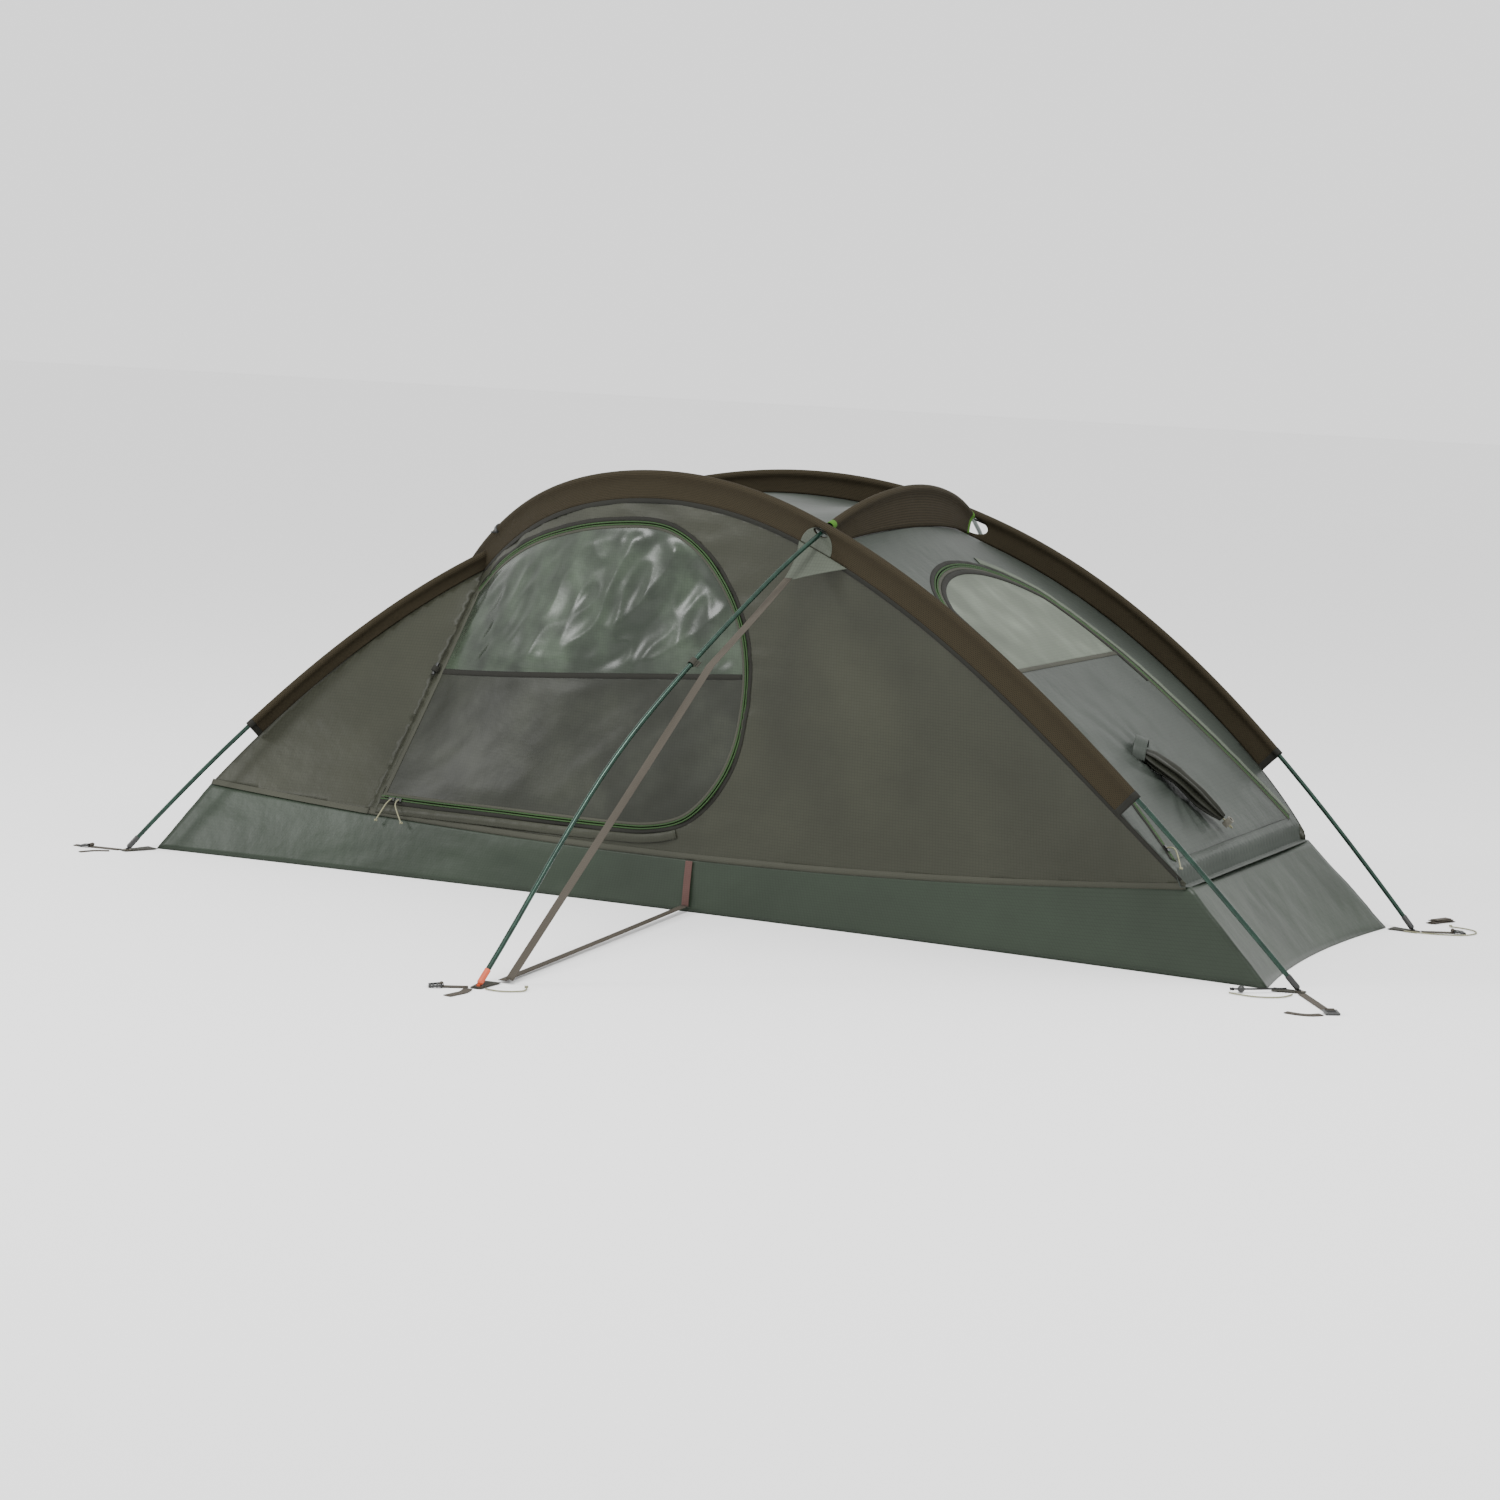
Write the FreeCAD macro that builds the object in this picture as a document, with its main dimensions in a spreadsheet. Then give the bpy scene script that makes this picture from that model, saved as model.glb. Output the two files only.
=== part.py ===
import FreeCAD, Part
import math
import os
import Sketcher
from FreeCAD import Placement, Rotation, Vector

# One-person inner tent on three sleeved poles.  Millimetres, +Z up, +X towards the
# head end, -Y towards the side with the door.  The origin is on the ground under the
# middle of the tent.  Two long poles cross over the foot end and a third, shorter
# pole runs across the roof to two feet that stand well outside the groundsheet.

doc = FreeCAD.newDocument("tent")

# ---------------------------------------------------------------- driving sizes
SIZES = [
    ("reach", 1150.0),              # half the distance between the long poles' feet
    ("head_foot_side", 365.0),      # side offset of the long poles' feet, head end
    ("foot_foot_side", 465.0),      # side offset of the long poles' feet, foot end
    ("crown_height", 787.0),        # height of the long poles' guiding polygon
    ("outrigger_side", 1200.0),     # side offset of the short pole's feet
    ("tube_radius", 4.25),          # pole tube, outside
    ("tube_bore", 3.65),            # pole tube, inside
    ("ferrule_radius", 3.55),       # joining insert, outside
    ("ferrule_bore", 2.8),          # joining insert, inside
    ("shock_radius", 1.25),         # elastic cord inside the poles
    ("sleeve_bore", 5.4),           # mesh sleeve round the pole, inside
    ("sleeve_radius", 6.6),         # mesh sleeve round the pole, outside
    ("band_depth", 45.0),           # pole axis to canopy seam
    ("mesh_thick", 1.4),            # mesh band between sleeve and canopy
    ("cloth_thick", 1.6),           # canopy cloth
    ("sheet_thick", 2.0),           # groundsheet
    ("webbing_wide", 15.0),
    ("webbing_thick", 1.4),
    ("grommet_bore", 4.2),
    ("grommet_radius", 8.0),
    ("grommet_tall", 2.8),
    ("tip_radius", 5.2),
    ("tip_long", 24.0),
    ("tip_bore", 4.45),
    ("tip_wall", 2.2),
    ("pin_radius", 2.9),
    ("buckle_wide", 24.0),
    ("buckle_long", 22.0),
    ("buckle_thick", 3.0),
    ("slot_long", 16.4),
    ("slot_wide", 4.0),
    ("buckle_bar", 2.6),
    ("slider_wide", 7.5),
    ("slider_long", 13.0),
    ("slider_reach", 0.3),          # from the zip's middle towards the leaf
    ("slider_thick", 1.6),
    ("slider_lip", 1.2),
    ("slider_drop", 2.2),
    ("coil_wide", 3.0),             # one half of a zip
    ("coil_thick", 1.6),
    ("toggle_long", 26.0),
    ("toggle_radius", 3.4),
    ("ball_radius", 6.0),
    ("lock_radius", 6.5),
    ("lock_tall", 16.0),
    ("lock_floor", 3.0),
    ("plunger_radius", 4.2),
    ("plunger_tall", 9.0),
    ("cord_radius", 1.3),
    ("elastic_radius", 1.6),
]

sheet = doc.addObject("Spreadsheet::Sheet", "Dimensions")
for row, (alias, value) in enumerate(SIZES, start=1):
    sheet.set("A%d" % row, alias)
    sheet.set("B%d" % row, str(value))
    sheet.setAlias("B%d" % row, alias)
doc.recompute()


def size(alias):
    return float(getattr(sheet, alias))


nodes = []


def keep(obj, label):
    """Mark a document object as one sub-part of the tent."""
    obj.Label = label
    nodes.append(obj)
    return obj


def feature(label, shape):
    obj = doc.addObject("Part::Feature", label)
    obj.Shape = shape
    return keep(obj, label)


def group(label, solids):
    return feature(label, Part.makeCompound(solids))


def mirrored(point):
    return Vector(point.x, -point.y, point.z)


def mirror_shape(shape):
    return shape.mirror(Vector(0, 0, 0), Vector(0, 1, 0))


# ---------------------------------------------------------------- pole lines
REACH = size("reach")
TOP = size("crown_height")
HEAD_SIDE = size("head_foot_side")
FOOT_SIDE = size("foot_foot_side")
OUT = size("outrigger_side")
GROUND_LIFT = 4.0

# Guiding points of the long pole whose head foot is on the door side: share of the
# reach, side offset, share of the crown height.
LONG_POLE = [
    (1.0, -HEAD_SIDE, None),
    (0.77, -410.0, 0.365),
    (0.52, -420.0, 0.686),
    (0.25, -380.0, 0.9),
    (0.005, -285.0, 1.0),
    (-0.25, -225.0, 0.993),
    (-0.51, -75.0, 0.864),
    (-0.77, 210.0, 0.546),
    (-1.0, FOOT_SIDE, None),
]
CROSSING_DROP = [0, 0, 0, 0, 0, -12.0, -27.0, -14.0, 0]   # lower pole at the crossing

# Guiding points of the short pole from its foot on the door side to the middle.
SHORT_POLE = [
    (62.0, -OUT, GROUND_LIFT),
    (90.0, -1070.0, 146.0),
    (106.0, -913.0, 326.0),
    (177.0, -662.0, 526.0),
    (261.0, -268.0, 785.0),
]


def spline(points):
    """Clamped cubic through its end points, guided by the points between."""
    count = len(points)
    spans = count - 3
    knots = [i / spans for i in range(spans + 1)]
    mults = [4] + [1] * (spans - 1) + [4]
    curve = Part.BSplineCurve()
    curve.buildFromPolesMultsKnots(points, mults, knots, False, 3)
    return curve


def long_pole_points(side, drop):
    points = []
    for (share_x, offset, share_z), lower in zip(LONG_POLE, drop):
        height = GROUND_LIFT if share_z is None else share_z * TOP
        points.append(Vector(share_x * REACH, side * offset, height + lower))
    return points


POINTS_B = long_pole_points(1, [0] * len(LONG_POLE))
POINTS_A = long_pole_points(-1, CROSSING_DROP)
POINTS_C = [Vector(*p) for p in SHORT_POLE]
POINTS_C += [mirrored(p) for p in reversed(POINTS_C)]

LINE_A = spline(POINTS_A)
LINE_B = spline(POINTS_B)
LINE_C = spline(POINTS_C)


def tangent(curve, t):
    return Vector(*curve.tangent(t)[0]).normalize()


def inward(direction):
    """Square to a pole, in the upright plane that holds it, towards the ground."""
    up = Vector(0, 0, 1)
    hang = direction * up.dot(direction) - up
    return hang.normalize()


def tangent_arc(start, heading, end):
    """Three points of the arc that leaves start along heading and meets end."""
    chord = end - start
    along = Vector(chord).normalize()
    turn = math.acos(max(-1.0, min(1.0, along.dot(heading))))
    side = (heading - along * along.dot(heading)).normalize()
    middle = start + chord * 0.5 + side * (0.5 * chord.Length * math.tan(turn / 2))
    return start, middle, end


def arc_pairs(curve, sections, skip):
    """Two tangent arcs for each section of a pole, smooth from foot to foot."""
    first = curve.FirstParameter
    usable = curve.length() - 2 * skip
    stations = [curve.parameterAtDistance(skip + usable * i / sections, first)
                for i in range(sections + 1)]
    pairs = []
    for low, high in zip(stations, stations[1:]):
        start, end = curve.value(low), curve.value(high)
        leave, arrive = tangent(curve, low), tangent(curve, high)
        chord = end - start
        both = leave + arrive
        bend = 1 - leave.dot(arrive)
        drop = chord.dot(both)
        leg = (math.sqrt(drop * drop + 2 * bend * chord.dot(chord)) - drop) / (2 * bend)
        joint = (start + leave * leg + end - arrive * leg) * 0.5
        heading = (end - arrive * leg - start - leave * leg).normalize()
        pairs.append((tangent_arc(start, leave, joint), tangent_arc(joint, heading, end)))
    return pairs


def arc_edge(arc):
    return Part.Arc(*arc).toShape()


def trimmed(arc, from_start, from_end):
    """The same arc, shortened by a length at each end."""
    edge = arc_edge(arc)
    curve = edge.Curve
    low, high = edge.ParameterRange
    low += from_start / curve.Radius
    high -= from_end / curve.Radius
    return Part.Edge(curve, low, high)


def ring_face(centre, normal, outside, inside):
    disc = Part.Face(Part.Wire(Part.Circle(centre, normal, outside).toShape()))
    if inside is None:
        return disc
    return disc.cut(Part.Face(Part.Wire(Part.Circle(centre, normal, inside).toShape()))).Faces[0]


def tube_on(edge, outside, inside):
    """A round tube, or a rod when there is no bore, along one arc."""
    low, high = edge.ParameterRange
    circle = edge.Curve
    face = ring_face(edge.valueAt(low), edge.tangentAt(low), outside, inside)
    return face.revolve(circle.Center, circle.Axis, math.degrees(high - low))


class Pole:
    """One pole: tubes joined by inserts, with an elastic cord through all of them."""

    def __init__(self, curve, sections):
        self.curve = curve
        self.tip = 9.0                   # from the foot point to the end of the tube
        self.pairs = arc_pairs(curve, sections, self.tip)

    def tubes(self):
        gap = 0.1
        solids = []
        for first, second in self.pairs:
            for edge in (trimmed(first, gap, 0), trimmed(second, 0, gap)):
                solids.append(tube_on(edge, size("tube_radius"), size("tube_bore")))
        return solids

    def inserts(self):
        reach = 45.0
        solids = []
        for (_, before), (after, _) in zip(self.pairs, self.pairs[1:]):
            halves = [trimmed(before, arc_edge(before).Length - reach, 0),
                      trimmed(after, 0, arc_edge(after).Length - reach)]
            for half in halves:
                solids.append(tube_on(half, size("ferrule_radius"), size("ferrule_bore")))
        return solids

    def elastic(self):
        return [tube_on(arc_edge(arc), size("shock_radius"), None)
                for pair in self.pairs for arc in pair]


pole_a = Pole(LINE_A, 8)
pole_b = Pole(LINE_B, 8)
pole_c = Pole(LINE_C, 8)

POLES = (("a", pole_a), ("b", pole_b), ("c", pole_c))
for name, pole in POLES:
    group("pole_%s_tubes" % name, pole.tubes())
group("pole_ferrules", [solid for _, pole in POLES for solid in pole.inserts()])
group("pole_shock_cords", [solid for _, pole in POLES for solid in pole.elastic()])


# ---------------------------------------------------------------- canopy seams
TUB_FOOT = Vector(-1053, -325, 130)        # top corner of the groundsheet wall, foot end
TUB_HEAD = Vector(944, -350, 152)          # the same at the head end
TUB_MIDDLE = Vector(-2, -340, 97)
BASE_FOOT = Vector(-1124, -404, 0)
BASE_MIDDLE = Vector(-2, -350, 0)
BASE_HEAD = Vector(1097, -372, 0)


def through(p, q, r, share):
    """Parabola through three points: shares 0, one half and 1."""
    return (p * ((1 - share) * (1 - 2 * share)) + q * (4 * share * (1 - share))
            + r * (share * (2 * share - 1)))


def tub_top(share):
    return through(TUB_FOOT, TUB_MIDDLE, TUB_HEAD, share)


def tub_base(share):
    return through(BASE_FOOT, BASE_MIDDLE, BASE_HEAD, share)


def seam_line(points, curve, start, end):
    """Canopy seam: the pole's guiding points moved in by the depth of the mesh band."""
    count = len(points)
    knots = [0.0] * 4 + [(i + 1) / (count - 3) for i in range(count - 4)] + [1.0] * 4
    moved = [start]
    for i in range(1, count - 1):
        station = sum(knots[i + 1:i + 4]) / 3
        moved.append(points[i] + inward(tangent(curve, station)) * size("band_depth"))
    moved.append(end)
    return spline(moved)


SEAM_B = seam_line(POINTS_B, LINE_B, TUB_HEAD, mirrored(TUB_FOOT))
SEAM_A = seam_line(POINTS_A, LINE_A, mirrored(TUB_HEAD), TUB_FOOT)


def on_centreline(curve, low, high):
    """Parameter at which a line crosses the tent's middle plane."""
    rising = curve.value(high).y > curve.value(low).y
    for _ in range(60):
        middle = (low + high) / 2
        if (curve.value(middle).y > 0) == rising:
            high = middle
        else:
            low = middle
    return low


CROSS_A = on_centreline(SEAM_A, 0.6, 0.95)
CROSS_B = on_centreline(SEAM_B, 0.6, 0.95)
POLE_CROSS_A = on_centreline(LINE_A, 0.6, 0.95)
POLE_CROSS_B = on_centreline(LINE_B, 0.6, 0.95)
SEAM_SHARE = 0.166          # where the door's straight seam meets the groundsheet


# ---------------------------------------------------------------- cloth panels
def grid(rule, rows, columns):
    return [[rule(i / (rows - 1), j / (columns - 1)) for j in range(columns)]
            for i in range(rows)]


def normals_of(points, outward):
    rows, columns = len(points), len(points[0])
    result = []
    for i in range(rows):
        line = []
        for j in range(columns):
            across = points[min(i + 1, rows - 1)][j] - points[max(i - 1, 0)][j]
            along = points[i][min(j + 1, columns - 1)] - points[i][max(j - 1, 0)]
            normal = across.cross(along).normalize()
            line.append(normal if normal.dot(outward) > 0 else normal * -1)
        result.append(line)
    return result


def surface_through(points):
    surface = Part.BSplineSurface()
    surface.interpolate(points)
    return surface


def cloth(points, outward, thick, proud=0.0):
    """Closed solid: a smooth sheet through the points, proud of them by a little."""
    normals = normals_of(points, outward)
    sheets = []
    for offset in (proud, proud - thick):
        moved = [[p + n * offset for p, n in zip(pr, nr)] for pr, nr in zip(points, normals)]
        sheets.append(surface_through(moved))
    faces = [s.toShape() for s in sheets]
    u0, u1, v0, v1 = sheets[0].bounds()
    for outer, inner in ((sheets[0].uIso(u0), sheets[1].uIso(u0)),
                         (sheets[0].uIso(u1), sheets[1].uIso(u1)),
                         (sheets[0].vIso(v0), sheets[1].vIso(v0)),
                         (sheets[0].vIso(v1), sheets[1].vIso(v1))):
        faces.append(Part.makeRuledSurface(outer.toShape(), inner.toShape()))
    shell = Part.makeCompound(faces)
    shell.sewShape()
    solid = Part.makeSolid(shell.Shells[0])
    if solid.Volume < 0:
        solid.reverse()
    return solid


GAP = 3.0                    # cut edges stop this short of a seam line


def between(low, high, share, gap_low=GAP, gap_high=GAP):
    """Point between two, leaving a gap at each end."""
    span = high - low
    length = span.Length
    return low + span * ((gap_low + (length - gap_low - gap_high) * share) / length)


def wall_rule(u, v):
    u = 0.004 + 0.981 * u
    low = tub_top(SEAM_SHARE + (1 - SEAM_SHARE) * u)
    high = SEAM_B.value(CROSS_B * (1 - u))
    return between(low, high, v)


def gore_rule(u, v):
    u = 0.06 + 0.936 * u
    low = tub_top(SEAM_SHARE * u)
    high = SEAM_A.value(1 - (1 - CROSS_A) * u)
    return between(low, high, v)


def roof_crown(share):
    """The short pole lifts the roof where it crosses."""
    return 48.0 * math.exp(-((share - 0.57) / 0.085) ** 2)


def roof_point(share, u):
    near = SEAM_B.value(CROSS_B * (1 - share))
    far = SEAM_A.value(CROSS_A * (1 - share))
    point = between(near, far, u, 5.0, 5.0)
    return point + Vector(0, 0, roof_crown(share) * 4 * u * (1 - u))


ROOF_START, ROOF_SEAM, ROOF_END = 0.04, 0.57, 0.996


def roof_grid(low, high, rows, columns):
    """Roof cloth between two shares of the way from the crossing to the head end."""
    return grid(lambda u, v: roof_point(low + (high - low) * v, u), rows, columns)


def foot_rule(u, v):
    share = 0.015 + 0.915 * v
    near = SEAM_A.value(1 - (1 - CROSS_A) * share)
    far = SEAM_B.value(1 - (1 - CROSS_B) * share)
    return between(near, far, u, 5.0, 5.0)


NEAR = Vector(0, -1, 0.3)
UP_HEAD = Vector(0.5, 0, 1)
UP_FOOT = Vector(-0.7, 0, 0.7)
WALL = grid(wall_rule, 19, 7)
GORE = grid(gore_rule, 9, 6)
ROOF = roof_grid(ROOF_START, ROOF_END, 9, 25)
ROOF_FRONT = roof_grid(ROOF_START, ROOF_SEAM - 0.0015, 9, 15)
ROOF_HEAD = roof_grid(ROOF_SEAM + 0.0015, ROOF_END, 9, 13)
FOOT = grid(foot_rule, 5, 11)
CLOTH = size("cloth_thick")


def upright_prism(wire_points, curved):
    """Outline in the upright long plane, swept right across the door side."""
    return prism([Vector(x, -700, z) for x, z in wire_points], curved, Vector(0, 760, 0))


def plan_prism(wire_points, curved):
    """Outline seen from above, swept upwards."""
    return prism([Vector(x, y, 0) for x, y in wire_points], curved, Vector(0, 0, 900))


def prism(points, curved, sweep):
    """Closed outline: the first run of points as a smooth curve, the rest straight."""
    bend = Part.BSplineCurve()
    bend.interpolate(points[:curved])
    edges = [bend.toShape()]
    rest = points[curved - 1:] + points[:1]
    for start, end in zip(rest, rest[1:]):
        edges.append(Part.makeLine(start, end))
    face = Part.Face(Part.Wire(edges))
    if face.normalAt(0, 0).dot(sweep) < 0:
        face.reverse()
    return face.extrude(sweep)


def shrunk(points, curved, amount):
    """The outline moved in by an amount, about each point's own neighbours."""
    count = len(points)
    area = sum(points[i - 1][0] * points[i][1] - points[i][0] * points[i - 1][1]
               for i in range(count))
    turn = 1 if area > 0 else -1
    moved = []
    for i in range(count):
        before, here, after = points[i - 1], points[i], points[(i + 1) % count]
        normals = []
        for (x0, y0), (x1, y1) in ((before, here), (here, after)):
            length = math.hypot(x1 - x0, y1 - y0)
            normals.append((-(y1 - y0) / length * turn, (x1 - x0) / length * turn))
        nx = normals[0][0] + normals[1][0]
        ny = normals[0][1] + normals[1][1]
        scale = 2 * amount / (nx * nx + ny * ny)
        moved.append((here[0] + nx * scale, here[1] + ny * scale))
    return moved


# Door outline, (x, z): the zip runs from the top of the hinge seam round to its foot.
DOOR = [(-626, 524), (-560, 582), (-457, 634), (-323, 672), (-203, 688), (-127, 688),
        (-72, 672), (-22, 641), (22, 597), (55, 549), (77, 496), (87, 434), (85, 366),
        (75, 307), (53, 250), (15, 196), (-30, 160), (-95, 142), (-170, 138), (-290, 137),
        (-420, 137), (-550, 136), (-676, 136)]
DOOR_CURVED = len(DOOR) - 1
# Head opening, (x, y): an arch over the roof whose legs run down to the groundsheet.
ARCH_MIDDLE, ARCH_LONG, ARCH_HALF = 470.0, 125.0, 250.0
ARCH = [(908, -334), (812, -305), (711, -282), (575, -268)]
ARCH += [(ARCH_MIDDLE - ARCH_LONG * math.sin(math.radians(a)),
          -ARCH_HALF * math.cos(math.radians(a))) for a in (10, 30, 50, 70)]
ARCH += [(ARCH_MIDDLE - ARCH_LONG, 0.0)]
ARCH += [(x, -y) for x, y in reversed(ARCH[:-1])]
ARCH_CURVED = len(ARCH)

LEAF_GAP = 2.0

# ---- canopy
door_hole = upright_prism(DOOR, DOOR_CURVED)
door_leaf = upright_prism(shrunk(DOOR, DOOR_CURVED, LEAF_GAP), DOOR_CURVED)
arch_hole = plan_prism(ARCH, ARCH_CURVED)
arch_leaf = plan_prism(shrunk(ARCH, ARCH_CURVED, LEAF_GAP), ARCH_CURVED)

wall_solid = cloth(WALL, NEAR, CLOTH)
head_solid = cloth(ROOF_HEAD, UP_HEAD, CLOTH)
gore_solid = cloth(GORE, NEAR, CLOTH)
feature("door_wall", wall_solid.cut(door_hole))
feature("plain_wall", mirror_shape(wall_solid))
group("foot_gores", [gore_solid, mirror_shape(gore_solid)])
feature("roof_panel", cloth(ROOF_FRONT, UP_HEAD, CLOTH))
feature("head_panel", head_solid.cut(arch_hole))
feature("foot_panel", cloth(FOOT, UP_FOOT, CLOTH))

# ---- the two leaves, each in two cloths
DIVIDE_X, DIVIDE_Z, DIVIDE_SLOPE = -660.0, 368.0, 0.086


def below_divide(offset):
    """Everything on the door side under the cross seam of the door."""
    points = [(-900, DIVIDE_Z + offset + DIVIDE_SLOPE * (-900 - DIVIDE_X)), (-900, 0),
              (300, 0), (300, DIVIDE_Z + offset + DIVIDE_SLOPE * (300 - DIVIDE_X))]
    corners = [Vector(x, -700, z) for x, z in points]
    return Part.Face(Part.makePolygon(corners + corners[:1])).extrude(Vector(0, 760, 0))


leaf = wall_solid.common(door_leaf)
feature("door_leaf_lower", leaf.common(below_divide(-0.3)))
feature("door_leaf_window", leaf.cut(below_divide(0.3)))
HEAD_DIVIDE = 577.0
head_leaf = head_solid.common(arch_leaf)
upper_half = Part.makeBox(HEAD_DIVIDE - 0.3, 900, 900, Vector(0, -450, 0))
lower_half = Part.makeBox(900, 900, 900, Vector(HEAD_DIVIDE + 0.3, -450, 0))
feature("head_leaf_window", head_leaf.common(upper_half))
feature("head_leaf_lower", head_leaf.common(lower_half))


# ---- zips: one half on the tent, one half on the leaf
COIL_LIFT = 0.4
COIL_THICK = size("coil_thick")
wall_skin = surface_through(WALL).toShape()
head_skin = surface_through(ROOF_HEAD).toShape()
roof_skin = surface_through(ROOF).toShape()


def onto(skin, point, direction):
    """Where a line through the point meets a sheet."""
    line = Part.makeLine(point - direction * 900, point + direction * 900)
    return skin.section(line).Vertexes[0].Point


def smooth_outline(points):
    curve = Part.BSplineCurve()
    curve.interpolate([Vector(x, y, 0) for x, y in points])
    return curve


def outline_share(curve, share):
    return curve.value(curve.parameterAtDistance(share * curve.length(), curve.FirstParameter))


def coil(skin, outline, place, sweep, outward, low, high, steps):
    """Half a zip: a raised strip between two offsets of an outline, laid on a sheet."""
    inner = smooth_outline(shrunk(outline, len(outline), low))
    outer = smooth_outline(shrunk(outline, len(outline), high))

    def rule(u, v):
        share = 0.006 + 0.988 * u
        flat = outline_share(inner, share) * (1 - v) + outline_share(outer, share) * v
        return onto(skin, place(flat.x, flat.y), sweep)
    return cloth(grid(rule, steps, 2), outward, COIL_THICK, COIL_LIFT + COIL_THICK)


COIL = size("coil_wide")
Y_AXIS, Z_AXIS = Vector(0, 1, 0), Vector(0, 0, 1)


def door_place(x, z):
    return Vector(x, -300, z)


def arch_place(x, y):
    return Vector(x, y, 300)


WALL_COIL = (-0.3 - COIL, -0.3)
LEAF_COIL = (1.3 + COIL, 1.3)


def door_coil(offsets):
    return coil(wall_skin, DOOR, door_place, Y_AXIS, NEAR, offsets[0], offsets[1], 61)


def head_coil(offsets):
    return coil(head_skin, ARCH, arch_place, Z_AXIS, UP_HEAD, offsets[0], offsets[1], 49)


group("zip_tent_halves", [door_coil(WALL_COIL), head_coil(WALL_COIL)])
feature("door_zip_leaf_half", door_coil(LEAF_COIL))
feature("head_zip_leaf_half", head_coil(LEAF_COIL))


# ---------------------------------------------------------------- groundsheet
SHEET = size("sheet_thick")
FLOOR_GAP = 2.3


def tub_side_rule(u, v):
    share = 0.006 + 0.988 * u
    low = tub_base(share) + Vector(0, 1.5, SHEET + FLOOR_GAP)
    return between(low, tub_top(share), v, 0, 0.5)


def tub_end_rule(base, top, bow):
    """A short end of the tub between its two mirrored corners."""
    def rule(u, v):
        side = -1 + 2 * (0.008 + 0.984 * u)
        inset = bow * (1 - side * side)
        low = Vector(base.x + inset, -side * base.y, SHEET + FLOOR_GAP)
        high = Vector(top.x + inset * 0.4, -side * top.y, top.z)
        return between(low, high, v, 0, 0.5)
    return rule


tub_side = cloth(grid(tub_side_rule, 15, 4), NEAR, SHEET)
tub_foot = cloth(grid(tub_end_rule(BASE_FOOT, TUB_FOOT, 30), 9, 4), Vector(-1, 0, 0), SHEET)
tub_head = cloth(grid(tub_end_rule(BASE_HEAD, TUB_HEAD, -30), 9, 4), Vector(1, 0, 0), SHEET)
group("groundsheet_walls", [tub_side, mirror_shape(tub_side), tub_foot, tub_head])


def floor_edge(p, q, r):
    return Part.Arc(p, q, r).toShape()


foot_bow = Vector(BASE_FOOT.x + 30, 0, 0)
head_bow = Vector(BASE_HEAD.x - 30, 0, 0)
floor_wire = Part.Wire([
    floor_edge(BASE_FOOT, BASE_MIDDLE, BASE_HEAD),
    floor_edge(BASE_HEAD, head_bow, mirrored(BASE_HEAD)),
    floor_edge(mirrored(BASE_HEAD), mirrored(BASE_MIDDLE), mirrored(BASE_FOOT)),
    floor_edge(mirrored(BASE_FOOT), foot_bow, BASE_FOOT),
])
feature("groundsheet_floor", Part.Face(floor_wire).extrude(Vector(0, 0, SHEET)))


# ---------------------------------------------------------------- pole sleeves
def pole_span(pole, low, high):
    """The pole's arcs between two distances from its first foot."""
    edges = []
    start = pole.tip
    for pair in pole.pairs:
        for arc in pair:
            length = arc_edge(arc).Length
            cut_low = max(0.0, low - start)
            cut_high = max(0.0, start + length - high)
            if cut_low + cut_high < length - 1:
                edges.append(trimmed(arc, cut_low, cut_high))
            start += length
    return edges


def nearest(curve_1, curve_2):
    """Where two poles pass closest: distance, point on the first, point on the second."""
    gap, points, _ = curve_1.toShape().distToShape(curve_2.toShape())
    return gap, points[0][0], points[0][1]


def distance_along(curve, point):
    return curve.length(curve.FirstParameter, curve.parameter(point))


gap_ab, meet_a, meet_b = nearest(LINE_A, LINE_B)
gap_bc, meet_bc_b, meet_bc_c = nearest(LINE_B, LINE_C)
gap_ac, meet_ac_a, meet_ac_c = nearest(LINE_A, LINE_C)
print("pole spacing at the crossings", round(gap_ab, 1), round(gap_bc, 1), round(gap_ac, 1))

SLEEVE_FROM = 424.0                    # from the head foot to the end of the sleeve
SLEEVE_UNTIL = 340.0                   # the same at the foot end
BINDING = 9.0


def sleeve_tube(pole, low, high, outside):
    return [tube_on(edge, outside, size("sleeve_bore")) for edge in pole_span(pole, low, high)]


def web(curve, seam, low, high, thick, columns, side=Vector(0, -1, 0)):
    """Flat mesh band between a sleeve and the canopy seam."""
    t_low = curve.parameterAtDistance(low, curve.FirstParameter)
    t_high = curve.parameterAtDistance(high, curve.FirstParameter)

    def rule(u, v):
        t = t_low + (t_high - t_low) * u
        along = tangent(curve, t)
        start, end = curve.value(t), seam(t)
        across = end - start
        across -= along * along.dot(across)
        return between(start + across.normalize() * 9.0, end, v, 0, 3.0)
    return cloth(grid(rule, columns, 4), side, thick)


def hole_cutter(point, direction, radius, reach=60):
    return Part.makeCylinder(radius, 2 * reach, point - direction * reach, direction)


def far_seam(t):
    """Canopy seam of the far wall, the mirror of the door side's."""
    return mirrored(SEAM_B.value(t))


def pole_room(pole, low, high):
    """Solid rods round the pole, which keep the mesh band off it."""
    return [tube_on(edge, size("sleeve_bore"), None) for edge in pole_span(pole, low, high)]


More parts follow.
